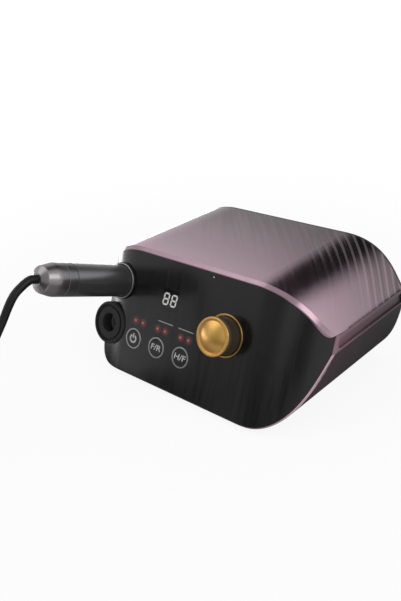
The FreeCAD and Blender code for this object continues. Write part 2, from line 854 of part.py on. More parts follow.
def key(index, label):
    """One push key: a round cap in its ring, a flange behind the panel and a plunger into its switch."""
    body = turned(label, [
        ("0", "0"),
        ("plunger_radius", "0"),
        ("plunger_radius", f"{KEY_SEAT} - key_flange_height"),
        ("key_radius + key_flange", f"{KEY_SEAT} - key_flange_height"),
        ("key_radius + key_flange", KEY_SEAT),
        ("key_radius", KEY_SEAT),
        ("key_radius", "board_face - (key_travel + key_stop) + key_proud - key_bevel"),
        ("key_radius - key_bevel", "board_face - (key_travel + key_stop) + key_proud"),
        ("0", "board_face - (key_travel + key_stop) + key_proud"),
    ])
    place_on_panel(body, f"{KEY_X} + {index} * key_pitch", "key_s", "-board_face + (key_travel + key_stop)")
    return keep(body, label)


def key_switch(index):
    """The small switch on the board behind one key, open for the key's plunger."""
    name = f"key_switch_{index}"
    case = box(name + "_case", "switch_size", "switch_size", "switch_height")
    well = cylinder(name + "_well", "plunger_radius + key_gap", "switch_height + 1")
    switch = cut(name, case, well)
    return place_on_panel(switch, f"{KEY_X} + {index} * key_pitch", "key_s", "-board_face")


def key_ring(index):
    """The bright ring round one key."""
    name = f"key_ring_{index}"
    disc = cylinder(name + "_disc", "key_ring_radius", "key_ring_height")
    hole = cylinder(name + "_hole", "key_radius + key_gap", "key_ring_height * 3", z="-key_ring_height")
    return place_on_panel(cut(name, disc, hole), f"{KEY_X} + {index} * key_pitch", "key_s")


for index, label in enumerate(("power_key", "direction_key", "pedal_key")):
    key(index, label)
keep(group("key_rings", *[key_ring(index) for index in range(KEYS)]), "key_rings")
keep(group("key_switches", *[key_switch(index) for index in range(KEYS)]), "key_switches")


# Speed knob

control_case = box("control_case", "control_width", "control_depth", f"board_face - {PANEL_DEPTH} - seam_gap")
control_neck = cylinder("control_neck", "bushing_radius", "board_face + bushing_reach")
control_bore = cylinder("control_bore", "shaft_radius + shaft_gap", "board_face + bushing_reach", z="shaft_seat")
control = cut("speed_control", fuse("control_solid", control_case, control_neck), control_bore)
keep(place_on_panel(control, "knob_x", "knob_s", "-board_face"), "speed_control")

nut_blank = primitive("Prism", "nut_blank", {"Circumradius": "nut_width / 2 / cos(30)", "Height": "nut_height"})
nut_hole = cylinder("nut_hole", "bushing_radius", "nut_height * 3", z="-nut_height")
keep(place_on_panel(cut("control_nut", nut_blank, nut_hole), "knob_x", "knob_s"), "control_nut")

shaft = cylinder("control_shaft", "shaft_radius", "board_face - shaft_seat - seam_gap + knob_lift + bore_top")
keep(place_on_panel(shaft, "knob_x", "knob_s", "-board_face + shaft_seat + seam_gap"), "control_shaft")

knob = turned("knob_body", [
    ("0", "bore_top"),
    ("shaft_radius + shaft_gap", "bore_top"),
    ("shaft_radius + shaft_gap", "knob_recess_height"),
    ("knob_recess_radius", "knob_recess_height"),
    ("knob_recess_radius", "0"),
    ("knob_radius", "0"),
    ("knob_radius", "knob_height - knob_neck"),
    ("knob_radius - knob_neck", "knob_height"),
    ("0", "knob_height"),
])
keep(place_on_panel(knob, "knob_x", "knob_s", "knob_lift"), "knob_body")

DOME_REACH = "(cap_radius - cap_rim_width - cap_edge)"
DOME_RISE = "(cap_dome + cap_edge)"
cap = turned("knob_cap", [
    ("0", "0"),
    ("knob_radius - knob_neck", "0"),
    ("cap_radius", "cap_edge"),
    ("cap_radius", "cap_rim - cap_edge", "-cap_edge"),
    ("cap_radius - cap_edge", "cap_rim"),
    ("cap_radius - cap_rim_width", "cap_rim"),
    (DOME_REACH, "cap_rim - cap_edge", f"-({DOME_REACH} ^ 2 + {DOME_RISE} ^ 2) / (2 * {DOME_RISE})"),
    ("0", f"cap_rim - cap_edge + {DOME_RISE}"),
])
keep(place_on_panel(cap, "knob_x", "knob_s", "knob_lift + knob_height"), "knob_cap")

bezel = turned("knob_bezel", [
    ("bezel_radius - bezel_width", "0"),
    ("bezel_radius", "0"),
    ("bezel_radius", "bezel_height / 2"),
    ("bezel_radius - bezel_width / 2", "bezel_height"),
    ("bezel_radius - bezel_width", "bezel_height"),
])
keep(place_on_panel(bezel, "knob_x", "knob_s"), "knob_bezel")


# Handpiece socket

SOCKET_LENGTH = "(socket_depth + socket_proud)"
SOCKET_SHELF = f"({SOCKET_LENGTH} - socket_lip - plug_reach)"

socket = turned("socket_housing", [
    ("plug_radius + plug_gap + insert_ledge", "0"),
    ("socket_radius", "0"),
    ("socket_radius", f"{SOCKET_LENGTH} - socket_edge"),
    ("socket_radius - socket_edge", SOCKET_LENGTH),
    ("socket_groove_outer", SOCKET_LENGTH),
    ("socket_groove_outer", f"{SOCKET_LENGTH} - socket_groove_depth"),
    ("socket_groove_inner", f"{SOCKET_LENGTH} - socket_groove_depth"),
    ("socket_groove_inner", f"{SOCKET_LENGTH} - socket_lip"),
    ("plug_radius + plug_gap", f"{SOCKET_LENGTH} - socket_lip"),
    ("plug_radius + plug_gap", SOCKET_SHELF),
    ("plug_radius + plug_gap + insert_ledge", SOCKET_SHELF),
])
keep(place_on_panel(socket, SOCKET_X, "socket_s", "-socket_depth"), "socket_housing")

insert_disc = cylinder("insert_disc", "plug_radius + plug_gap + insert_ledge - fit_gap", "insert_thick")
CONTACTS = 5
insert_holes = []
contacts = []
for index in range(CONTACTS):
    x = f"contact_circle * cos(180 + {index} * contact_step)"
    y = f"contact_circle * sin(180 + {index} * contact_step)"
    insert_holes.append(cylinder(f"insert_hole_{index}", "contact_radius + fit_gap", "insert_thick * 3",
                                 x, y, "-insert_thick"))
    contact = cylinder(f"contact_{index}", "contact_radius", "insert_thick + contact_tail - seam_gap")
    contacts.append(place(contact, x, y))
SHELF_N = f"(-socket_depth + {SOCKET_SHELF})"
insert = cut("socket_insert", insert_disc, *insert_holes)
keep(place_on_panel(insert, SOCKET_X, "socket_s", f"{SHELF_N} - insert_thick"), "socket_insert")
pins = group("socket_contacts", *contacts)
keep(place_on_panel(pins, SOCKET_X, "socket_s", f"{SHELF_N} - insert_thick - contact_tail"), "socket_contacts")


# Handpiece holder

HOLDER_LENGTH = "(holder_floor + rest_gap + stored_depth + holder_proud)"
HOLDER_BORE = "(grip_radius + holder_gap)"

sleeve = turned("holder_sleeve", [
    ("0", "0"),
    (HOLDER_OUTER, "0"),
    (HOLDER_OUTER, HOLDER_LENGTH),
    (HOLDER_BORE, HOLDER_LENGTH),
    (HOLDER_BORE, "holder_floor"),
    ("0", "holder_floor"),
])
keep(place_on_panel(sleeve, HOLDER_X, "holder_s", "-holder_floor - rest_gap - stored_depth"), "holder_sleeve")

holder_ring = turned("holder_ring", [
    (HOLDER_BORE, "0"),
    (f"{HOLDER_OUTER} - holder_ring_step", "0"),
    (f"{HOLDER_OUTER} - holder_ring_step", "holder_ring_height / 2"),
    (f"{HOLDER_BORE} + holder_ring_step", "holder_ring_height"),
    (HOLDER_BORE, "holder_ring_height"),
])
keep(place_on_panel(holder_ring, HOLDER_X, "holder_s", "holder_proud"), "holder_ring")


# Handpiece: heights run along its axis from the collet's tip

NOSE_END = "(collet_show + nose_length)"
LOCK_START = f"({NOSE_END} + lock_gap)"
NECK_START = f"({LOCK_START} + lock_length + lock_gap)"
GRIP_START = f"({NECK_START} + neck_length)"
GRIP_END = f"({GRIP_START} + grip_length)"
TAIL_START = f"({GRIP_END} + trim_length)"
TAIL_BEND = f"({TAIL_START} + tail_length)"
TAIL_RIM = f"({TAIL_BEND} + tail_taper)"
TAIL_END = f"({TAIL_RIM} + tail_cone)"
BEARING_SEAT = "(bearing_radius + fit_gap)"
GRIP_BORE = "(grip_radius - grip_wall)"
MOTOR_END = "(motor_start + motor_length)"


def handpiece_part(label, corners, lift="0"):
    """One turned piece on the handpiece's axis, in its stored place."""
    body = turned(label, corners)
    place_on_panel(body, HOLDER_X, "holder_s", f"{lift} - stored_depth")
    return keep(body, label)


handpiece_part("collet", [
    ("bit_radius", "0"),
    ("collet_radius - collet_bevel", "0"),
    ("collet_radius", "collet_bevel"),
    ("collet_radius", "collet_length"),
    ("0", "collet_length"),
    ("0", "bit_depth"),
    ("bit_radius", "bit_depth"),
])
handpiece_part("nose_cone", [
    ("collet_radius + lock_gap", "collet_show"),
    ("nose_tip_radius", "collet_show"),
    ("nose_base_radius", NOSE_END),
    ("collet_radius + lock_gap", NOSE_END),
])
handpiece_part("lock_ring", [
    ("lock_core_radius + lock_gap", LOCK_START),
    ("lock_radius", LOCK_START),
    ("lock_radius", f"{LOCK_START} + lock_length"),
    ("lock_core_radius + lock_gap", f"{LOCK_START} + lock_length"),
])
handpiece_part("grip_body", [
    (BEARING_SEAT, NOSE_END),
    ("lock_core_radius", NOSE_END),
    ("lock_core_radius", NECK_START),
    ("neck_radius", NECK_START),
    ("neck_radius", GRIP_START),
    ("grip_radius - grip_bevel", GRIP_START),
    ("grip_radius", f"{GRIP_START} + grip_bevel"),
    ("grip_radius", GRIP_END),
    (GRIP_BORE, GRIP_END),
    (GRIP_BORE, "motor_start"),
    (BEARING_SEAT, "motor_start"),
])
handpiece_part("trim_ring", [
    (GRIP_BORE, GRIP_END),
    ("grip_radius - trim_step", GRIP_END),
    ("grip_radius - trim_step", TAIL_START),
    (GRIP_BORE, TAIL_START),
])
handpiece_part("tail_cap", [
    (f"{GRIP_BORE} - tail_wall", TAIL_START),
    ("grip_radius", TAIL_START),
    ("grip_radius", TAIL_BEND),
    ("tail_rim_radius", TAIL_RIM),
    ("tail_end_radius", TAIL_END),
    ("cord_radius", TAIL_END),
    ("cord_radius", f"{TAIL_RIM} - tail_wall"),
    (f"{GRIP_BORE} - tail_wall", f"{TAIL_BEND} - tail_wall"),
])
handpiece_part("cord_relief", [
    ("0", f"{TAIL_RIM} - tail_wall"),
    ("cord_radius - fit_gap", f"{TAIL_RIM} - tail_wall"),
    ("cord_radius - fit_gap", TAIL_END),
    ("relief_base_radius", TAIL_END),
    ("relief_end_radius", f"{TAIL_END} + relief_length"),
    ("0", f"{TAIL_END} + relief_length"),
])
handpiece_part("motor_case", [
    ("spindle_radius + fit_gap", "motor_start"),
    ("motor_radius", "motor_start"),
    ("motor_radius", MOTOR_END),
    ("spindle_radius + fit_gap", MOTOR_END),
    ("spindle_radius + fit_gap", f"{MOTOR_END} - motor_wall"),
    (BEARING_SEAT, f"{MOTOR_END} - motor_wall"),
    (BEARING_SEAT, "motor_start + motor_wall"),
    ("spindle_radius + fit_gap", "motor_start + motor_wall"),
])


def bearing(label, start):
    """Ball bearing drawn as its two rings' common envelope."""
    return handpiece_part(label, [
        ("spindle_radius + fit_gap", start),
        ("bearing_radius", start),
        ("bearing_radius", f"{start} + bearing_width"),
        ("spindle_radius + fit_gap", f"{start} + bearing_width"),
    ])


bearing("front_bearing", f"({NOSE_END} + seam_gap)")
bearing("rear_bearing", f"({MOTOR_END} - motor_wall - bearing_width)")
handpiece_part("spindle", [
    ("0", "collet_length"),
    ("spindle_radius", "collet_length"),
    ("spindle_radius", f"{MOTOR_END} - seam_gap"),
    ("0", f"{MOTOR_END} - seam_gap"),
])
handpiece_part("rotor", [
    ("spindle_radius", "motor_start + motor_wall + rotor_gap"),
    ("bearing_radius - rotor_gap", "motor_start + motor_wall + rotor_gap"),
    ("bearing_radius - rotor_gap", f"{MOTOR_END} - motor_wall - bearing_width - rotor_gap"),
    ("spindle_radius", f"{MOTOR_END} - motor_wall - bearing_width - rotor_gap"),
])


# Cord: a free run from the handpiece down to a put-away coil, with its plug

CORD_FLOOR = size("cord_radius") + size("floor_gap")
CORD_START = on_panel(number(HOLDER_X), size("holder_s"),
                      number(f"{TAIL_END} + relief_length - stored_depth"))
COIL_MIDDLE = Vector(size("coil_x"), size("coil_y"), CORD_FLOOR)
CORD_ROUTE = [
    CORD_START,
    CORD_START + OUT_PANEL * 3.8,
    Vector(-67.4, -128.7, 95.1),
    Vector(-67.4, -134.6, 94.4),
    Vector(-67.4, -141.1, 91.3),
    Vector(-67.3, -147.2, 84.4),
    Vector(-67.1, -152.4, 76.6),
    Vector(-66.8, -159.6, 67.6),
    Vector(-66.4, -166.6, 57.0),
    Vector(-66.0, -172.2, 44.6),
    Vector(-65.6, -177.2, 31.0),
    Vector(-65.0, -182.8, 18.4),
    Vector(-64.4, -190.4, 9.0),
    Vector(-63.8, -200.6, 4.1),
    Vector(-63.4, -211.6, CORD_FLOOR),
    Vector(-65.0, -223.6, CORD_FLOOR),
    Vector(-71.2, -233.6, CORD_FLOOR),
    Vector(-80.8, -239.6, CORD_FLOOR),
    Vector(-91.0, -241.0, CORD_FLOOR),
    Vector(-100.0, -241.0, CORD_FLOOR),
]


def round_wire(centre, along, radius):
    """Circle across a path, as a closed wire."""
    return Part.Wire(Part.makeCircle(radius, centre, along))


def tube_path(route):
    """Straight runs joined by tangent arcs, each as large as its two runs allow; prints the radii."""
    edges = []
    radii = []
    last = route[0]
    for before, corner, after in zip(route, route[1:], route[2:]):
        into = (corner - before).normalize()
        away = (after - corner).normalize()
        turn = into.getAngle(away)
        cut_back = 0.45 * min((corner - before).Length, (after - corner).Length)
        radii.append(cut_back / math.tan(turn / 2))
        start, end = corner - into * cut_back, corner + away * cut_back
        towards = (away - into).normalize()
        middle = corner + towards * (radii[-1] / math.cos(turn / 2) - radii[-1])
        edges.append(Part.LineSegment(last, start).toShape())
        edges.append(Part.Arc(start, middle, end).toShape())
        last = end
    edges.append(Part.LineSegment(last, route[-1]).toShape())
    print("cord arc radii", [round(radius, 1) for radius in radii])
    return Part.Wire(edges)


def biarc(start, start_way, end, end_way):
    """Two arcs, tangent to each other and to both given directions."""
    span = end - start
    total = start_way + end_way
    square = total.dot(total) - 4
    if abs(square) < 1e-9:
        reach = span.dot(span) / (4 * span.dot(end_way))
    else:
        reach = (2 * span.dot(total) - math.sqrt(4 * span.dot(total) ** 2 - 4 * square * span.dot(span)))
        reach = reach / (2 * square)
    if reach < 0:
        reach = (2 * span.dot(total) + math.sqrt(4 * span.dot(total) ** 2 - 4 * square * span.dot(span)))
        reach = reach / (2 * square)
    joint = (start + start_way * reach + end - end_way * reach) / 2
    return [tangent_arc(start, start_way, joint), tangent_arc(end, end_way * -1, joint)]


def tangent_arc(start, way, end):
    """Arc that leaves start along way and ends at end."""
    chord = end - start
    ahead = Vector(chord).normalize()
    side = way - ahead * way.dot(ahead)
    turn = math.atan2(side.Length, way.dot(ahead))
    middle = (start + end) / 2 + side.normalize() * (chord.Length / 2 * math.tan(turn / 2))
    return Part.Arc(start, middle, end).toShape()


COIL_TURNS = 2 * size("coil_layer_turns") + 0.5


def coil_point(turns):
    """Point on the coil's centre line: in along one layer, up in half a turn, and out along the next."""
    layer = size("coil_layer_turns")
    pitch = size("coil_pitch")
    inner = size("coil_radius") - layer * pitch
    rise = 0.0
    if turns < layer:
        radius = size("coil_radius") - turns * pitch
    elif turns < layer + 0.5:
        share = (turns - layer) / 0.5
        radius = inner - size("coil_dip") * math.sin(math.pi * share)
        rise = size("coil_layer_rise") * (1 - math.cos(math.pi * share)) / 2
    else:
        radius = inner + (turns - layer - 0.5) * pitch
        rise = size("coil_layer_rise")
    angle = -math.pi / 2 - 2 * math.pi * turns
    return COIL_MIDDLE + Vector(radius * math.cos(angle), radius * math.sin(angle), rise)


def coil_way(turns, step=1e-4):
    """Direction of the coil's centre line; level and square to the radius at its two ends."""
    if turns in (0, COIL_TURNS):
        return Vector(-1, 0, 0)
    return (coil_point(turns + step) - coil_point(turns - step)).normalize()


def least_gap(points, radius, skip):
    """Smallest clear distance between stretches of one tube that aren't next to each other."""
    least = 1e9
    for low, first in enumerate(points):
        for second in points[low + skip:]:
            least = min(least, first.distanceToPoint(second))
    return least - 2 * radius


def coil_shape():
    """The put-away coil as one unbroken tube, its ends straight."""
    lead = Vector(size("cord_radius") * 2, 0, 0)
    tail = Vector(-size("coil_lead"), 0, 0)
    first = coil_point(0)
    edges = [Part.LineSegment(first + lead, first).toShape()]
    steps = int(round(COIL_TURNS * 4))
    for step in range(steps):
        low, high = step / 4, (step + 1) / 4
        edges += biarc(coil_point(low), coil_way(low), coil_point(high), coil_way(high))
    end = coil_point(COIL_TURNS)
    edges.append(Part.LineSegment(end, end + tail).toShape())
    path = Part.Wire(Part.__sortEdges__(edges))
    samples = [coil_point(COIL_TURNS * index / 400) for index in range(401)]
    print("coil least gap", round(least_gap(samples, size("cord_radius"), 30), 2), "length", round(path.Length, 1))
    shape = path.makePipeShell([round_wire(first + lead, Vector(-1, 0, 0), size("cord_radius"))], True, False)
    return shape, end + tail


cord_path = tube_path(CORD_ROUTE)
cord = cord_path.makePipeShell([round_wire(CORD_START, OUT_PANEL, size("cord_radius"))], True, False)
print("cord length", round(cord_path.Length, 1), "volume share",
      round(cord.Volume / (math.pi * size("cord_radius") ** 2 * cord_path.Length), 4))
keep(feature("handpiece_cord", cord), "handpiece_cord")
coil, PLUG_START = coil_shape()
keep(feature("cord_coil", coil), "cord_coil")


def plug_part(label, corners):
    """One turned piece of the cord's plug, lying along -X from the coil's end."""
    body = turned(label, corners)
    body.Placement = Placement(PLUG_START, Rotation(Vector(0, 1, 0), -90))
    return keep(body, label)


plug_part("plug_grip", [
    ("0", "0"),
    ("cord_radius + plug_step", "0"),
    ("plug_body_radius", "plug_taper"),
    ("plug_body_radius", "plug_body_length"),
    ("0", "plug_body_length"),
])
plug_part("plug_barrel", [
    ("0", "plug_body_length"),
    ("plug_radius", "plug_body_length"),
    ("plug_radius", "plug_body_length + plug_reach - seam_gap"),
    ("plug_radius - plug_shell", "plug_body_length + plug_reach - seam_gap"),
    ("plug_radius - plug_shell", "plug_body_length + plug_shell"),
    ("0", "plug_body_length + plug_shell"),
])


# Rear: power switch, mains inlet and pedal jack

frame_plate = box("frame_plate", "rocker_width + 2 * rocker_frame", "rocker_frame_proud",
                  "rocker_height + 2 * rocker_frame", y="rocker_frame_proud / 2",
                  z="-rocker_height / 2 - rocker_frame")
frame_box = box("frame_box", "rocker_width", "rocker_depth", "rocker_height", y="-rocker_depth / 2",
                z="-rocker_height / 2")
frame_well = box("frame_well", "rocker_width - 2 * rocker_wall", "rocker_depth + rocker_frame_proud",
                 "rocker_height - 2 * rocker_wall", y="rocker_wall - rocker_depth / 2 + rocker_frame_proud / 2",
                 z="-rocker_height / 2 + rocker_wall")
switch_frame = cut("switch_frame", fuse("frame_solid", frame_plate, frame_box), frame_well)
keep(place(switch_frame, "rocker_x", "body_depth / 2", "rear_z"), "switch_frame")

ROCKER_HALF = "(rocker_height / 2 - rocker_wall - rocker_gap)"
rocker_body = doc.addObject("PartDesign::Body", "switch_rocker")
rocker_sketch = sketch_in(rocker_body, "YZ_Plane", "rocker_profile")
draw(rocker_sketch, [
    ("-rocker_heel", "-rocker_toe"),
    ("0", f"-{ROCKER_HALF}"),
    ("rocker_lobe", f"-{ROCKER_HALF}"),
    ("rocker_lobe - rocker_dish", "0"),
    ("rocker_lobe", ROCKER_HALF),
    ("0", ROCKER_HALF),
    ("-rocker_heel", "rocker_toe"),
])
rocker_pad = rocker_body.newObject("PartDesign::Pad", "rocker_pad")
rocker_pad.Profile = rocker_sketch
rocker_pad.setExpression("Length", bind("rocker_width - 2 * rocker_wall - 2 * rocker_gap"))
rocker_pad.Midplane = True
place(rocker_body, "rocker_x", "body_depth / 2", "rear_z", (1, 0, 0), "rocker_tilt")
keep(rocker_body, "switch_rocker")

inlet_plate = box("inlet_plate", "inlet_width + 2 * inlet_flange", "inlet_proud",
                  "inlet_height + 2 * inlet_flange", y="inlet_proud / 2", z="-inlet_height / 2 - inlet_flange")
inlet_box = box("inlet_box", "inlet_width", "inlet_depth", "inlet_height", y="-inlet_depth / 2",
                z="-inlet_height / 2")
well_middle = box("well_middle", "inlet_pin_pitch", "inlet_well", "2 * inlet_lobe",
                  y="inlet_proud - inlet_well / 2", z="-inlet_lobe")
well_lobes = [cylinder(f"well_lobe_{side}", "inlet_lobe", "inlet_well", f"{side} * inlet_pin_pitch / 2",
                       "inlet_proud", "0", (1, 0, 0), "90") for side in (-1, 1)]
inlet = cut("mains_inlet", fuse("inlet_solid", inlet_plate, inlet_box), well_middle, *well_lobes)
keep(place(inlet, "inlet_x", "body_depth / 2", "rear_z"), "mains_inlet")

inlet_pins = [cylinder(f"inlet_pin_{side}", "inlet_pin_radius", "inlet_pin_length",
                       f"{side} * inlet_pin_pitch / 2", "inlet_proud - inlet_well + inlet_pin_length", "0",
                       (1, 0, 0), "90") for side in (-1, 1)]
keep(place(group("inlet_pins", *inlet_pins), "inlet_x", "body_depth / 2", "rear_z"), "inlet_pins")

jack_barrel = cylinder("jack_barrel", "jack_barrel_radius", "jack_depth + jack_nut_height",
                       y="jack_nut_height", axis=(1, 0, 0), angle="90")
jack_case = box("jack_case", "jack_case_size", "jack_depth - cover_wall - seam_gap", "jack_case_size",
                y="-(jack_depth + cover_wall + seam_gap) / 2", z="-jack_case_size / 2")
jack_bore = cylinder("jack_bore", "jack_bore_radius", "jack_bore_depth", y="jack_nut_height",
                     axis=(1, 0, 0), angle="90")
jack = cut("pedal_jack", fuse("jack_solid", jack_barrel, jack_case), jack_bore)
keep(place(jack, "jack_x", "body_depth / 2", "rear_z"), "pedal_jack")

jack_disc = cylinder("jack_disc", "jack_nut_radius", "jack_nut_height - seam_gap", y="jack_nut_height - seam_gap",
                     axis=(1, 0, 0), angle="90")
jack_thread = cylinder("jack_thread", "jack_barrel_radius", "jack_nut_height * 3", y="jack_nut_height * 2",
                       axis=(1, 0, 0), angle="90")
keep(place(cut("jack_nut", jack_disc, jack_thread), "jack_x", "body_depth / 2", "rear_z"), "jack_nut")


# Feet and case screws

def foot(index, x, y):
    """Rubber foot: a soft disc with a peg up into the tray."""
    name = f"foot_{index}"
    disc = cylinder(name + "_disc", "foot_radius", "foot_height", x, y)
    peg = cylinder(name + "_peg", "foot_peg_radius - fit_gap", "foot_peg_height - fit_gap", x, y, "foot_height")
    return fuse(name, disc, peg)


def case_screw(index, x, y):
    """Case screw: head sunk in the underside, shank up into the upper shell's post."""
    name = f"case_screw_{index}"
    head = cylinder(name + "_head", "screw_head_radius - fit_gap", "screw_head_height - seam_gap", x, y,
                    "foot_height + seam_gap")
    shank = cylinder(name + "_shank", "screw_radius - fit_gap", "screw_length", x, y, "foot_height + seam_gap")
    return fuse(name, head, shank)


SIDES = [(sx, sy) for sx in (-1, 1) for sy in (-1, 1)]
keep(group("rubber_feet", *[foot(index, f"{sx} * {FOOT_X}", f"{sy} * foot_spread_y / 2")
                            for index, (sx, sy) in enumerate(SIDES)]), "rubber_feet")
keep(group("case_screws", *[case_screw(index, f"{sx} * {SCREW_X}",
                                       f"{sy} * screw_spread_y / 2 + screw_shift_y")
                            for index, (sx, sy) in enumerate(SIDES)]), "case_screws")


# Inside: power board, transformer, capacitors and heat sink

BOARD_Z = "(foot_height + wall + standoff_height)"
BOARD_TOP = f"({BOARD_Z} + board_thick)"

keep(box("main_board", "main_board_width", "main_board_depth", "board_thick", "main_board_x", "main_board_y",
         BOARD_Z), "main_board")
standoffs = [cylinder(f"standoff_{index}", "standoff_radius", "standoff_height",
                      f"main_board_x + ({sx}) * (main_board_width / 2 - standoff_inset)",
                      f"main_board_y + ({sy}) * (main_board_depth / 2 - standoff_inset)", "foot_height + wall")
             for index, (sx, sy) in enumerate(SIDES)]
keep(group("board_standoffs", *standoffs), "board_standoffs")

core_block = box("core_block", "core_width", "core_depth", "core_height")
WINDOW_WIDTH = "((core_width - 4 * core_leg) / 2)"
WINDOW_HEIGHT = "(core_height - 2 * core_leg)"
core_windows = [box(f"core_window_{side}", WINDOW_WIDTH, "core_depth * 2", WINDOW_HEIGHT,
                    f"{side} * (core_leg + {WINDOW_WIDTH} / 2)", "0", "core_leg") for side in (-1, 1)]
core = cut("transformer_core", core_block, *core_windows)
keep(place(core, "core_x", "core_y", BOARD_TOP), "transformer_core")

coil_block = box("winding_block", f"2 * core_leg + 2 * {WINDOW_WIDTH} - 2 * winding_gap",
                 "core_depth + 2 * winding_overhang", f"{WINDOW_HEIGHT} - 2 * winding_gap",
                 z="core_leg + winding_gap")
leg_space = box("leg_space", "2 * core_leg + 2 * winding_gap", "core_depth + 2 * winding_gap", "core_height")
keep(place(cut("transformer_winding", coil_block, leg_space), "core_x", "core_y", BOARD_TOP),
     "transformer_winding")

capacitors = [cylinder(f"capacitor_{index}", "capacitor_radius", "capacitor_height",
                       f"capacitor_x + {index} * capacitor_pitch", "capacitor_y", BOARD_TOP)
              for index in range(2)]
keep(group("board_capacitors", *capacitors), "board_capacitors")

sink_base = box("sink_plate", "sink_width", "sink_base", "sink_height", y="-sink_depth / 2 + sink_base / 2")
FINS = int(size("sink_fins"))
sink_blades = [box(f"sink_fin_{index}", "sink_fin", "sink_depth", "sink_height",
                   f"({index} / (sink_fins - 1) - 0.5) * (sink_width - sink_fin)") for index in range(FINS)]
sink = fuse("heat_sink", sink_base, *sink_blades)
keep(place(sink, "sink_x", "sink_y", BOARD_TOP), "heat_sink")


# Output

doc.recompute()
bad = [thing.Name for thing in doc.Objects if "Invalid" in thing.State or "Error" in thing.State]
if bad:
    raise RuntimeError("failed objects: " + ", ".join(bad))
os.makedirs("parts", exist_ok=True)
for part in SUB_PARTS:
    if part.Shape.isNull() or not part.Shape.isValid():
        raise RuntimeError("no valid shape: " + part.Label)
for part in SUB_PARTS:
    part.Shape.exportStep(f"parts/{part.Label}.step")
print(len(SUB_PARTS), "sub-parts")
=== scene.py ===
"""Nail drill machine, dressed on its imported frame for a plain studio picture.

The machine stands on a white table: a formed metal housing with a tilted gloss front, a handpiece in its
holder, and the handpiece's cord down to a put-away coil. Places are in millimetres in the frame's own axes,
X across, -Y out of the front and Z up, and turn to metres where a mesh is made.
"""

from __future__ import annotations

import logging
import math
from collections.abc import Iterable, Sequence
from dataclasses import dataclass, field
from enum import Enum
from typing import ClassVar

import bmesh
import bpy
from bmesh.types import BMesh
from bpy.types import Material, Mesh, NodeSocket, NodeTree, Object
from mathutils import Matrix, Vector

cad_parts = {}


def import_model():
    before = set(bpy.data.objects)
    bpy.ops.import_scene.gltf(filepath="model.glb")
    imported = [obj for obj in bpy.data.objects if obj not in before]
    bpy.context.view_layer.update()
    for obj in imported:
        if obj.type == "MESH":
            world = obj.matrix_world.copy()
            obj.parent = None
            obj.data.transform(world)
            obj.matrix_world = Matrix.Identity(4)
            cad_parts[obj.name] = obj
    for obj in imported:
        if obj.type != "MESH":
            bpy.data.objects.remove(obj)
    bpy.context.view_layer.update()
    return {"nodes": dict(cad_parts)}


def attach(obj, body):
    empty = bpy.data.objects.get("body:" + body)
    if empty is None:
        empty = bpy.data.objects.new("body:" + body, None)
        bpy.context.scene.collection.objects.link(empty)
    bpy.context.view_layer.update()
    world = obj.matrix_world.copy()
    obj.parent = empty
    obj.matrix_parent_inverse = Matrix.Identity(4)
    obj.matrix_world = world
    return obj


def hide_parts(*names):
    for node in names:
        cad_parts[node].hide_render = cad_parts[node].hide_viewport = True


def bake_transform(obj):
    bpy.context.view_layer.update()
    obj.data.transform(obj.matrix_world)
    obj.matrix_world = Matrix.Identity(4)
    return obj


MM = 0.001
TURN = 2 * math.pi
QUARTER = math.pi / 2
SHARP = 35.0
KNOB_AXIS = (35.0, 53.8)
HAND_AXIS = (-67.4, 66.2)
SOCKET_AXIS = (-73.0, 32.4)
PRINT_GAP = 0.02
PRINT_THICK = 0.03
NOISE_LOW = 0.35
NOISE_HIGH = 0.7
log = logging.getLogger("nail_drill_machine")


# Places on the object


@dataclass(frozen=True)
class TiltedFront:
    """The tilted front's own axes: across the machine, up the front, and out of it."""

    tilt: float = math.radians(21.2)
    low_edge: Vector = field(default_factory=lambda: Vector((0.0, -71.5, 3.0)))

    @property
    def up(self) -> Vector:
        """Direction up the front."""
        return Vector((0, math.sin(self.tilt), math.cos(self.tilt)))

    @property
    def out(self) -> Vector:
        """Direction square out of the front."""
        return Vector((0, -math.cos(self.tilt), math.sin(self.tilt)))

    def spot(self, across: float, up: float, out: float = 0.0) -> Vector:
        """Place of a spot this far to the right on the front, up it from its lower edge, and out of it."""
        return self.low_edge + Vector((across, 0, 0)) + self.up * up + self.out * out

    def place(self, *spot: float) -> Matrix:
        """Matrix that stands a drawing in millimetres, with Z outwards, on a spot of the front in metres."""
        return stand(self.spot(*spot), Matrix((Vector((1, 0, 0)), self.up, self.out)).transposed().to_4x4())


class Body(str, Enum):
    """The moving bodies that pieces ride on."""

    HOUSING = "housing"
    KNOB = "knob"
    POWER_KEY = "power_key"
    DIRECTION_KEY = "direction_key"
    PEDAL_KEY = "pedal_key"
    ROCKER = "rocker"
    HANDPIECE = "handpiece"
    LOCK_RING = "lock_ring"
    SPINDLE = "spindle"


def stand(place: Iterable[float], turn: Matrix | None = None) -> Matrix:
    """Matrix that turns a drawing in millimetres and stands its origin at a place, in the frame's metres."""
    return Matrix.Translation(Vector(place) * MM) @ (turn or Matrix()) @ Matrix.Scale(MM, 4)


FRONT = TiltedFront()


# Mesh tools


def finish_mesh(shape: BMesh, name: str, place: Matrix, sharp: float = SHARP) -> Object:
    """Turn a drawn shape into an object at the origin, its place in its mesh.

    Args:
        shape: The shape, which is freed.
        name: Name for the object.
        place: Matrix from the drawing to the frame, in metres.
        sharp: Angle past which an edge stays sharp, in degrees.

    Returns:
        The object.
    """
    bmesh.ops.remove_doubles(shape, verts=shape.verts, dist=1e-5)
    bmesh.ops.recalc_face_normals(shape, faces=shape.faces)
    mesh = bpy.data.meshes.new(name)
    shape.to_mesh(mesh)
    shape.free()
    mesh.transform(place)
    return show_mesh(mesh, name, sharp)


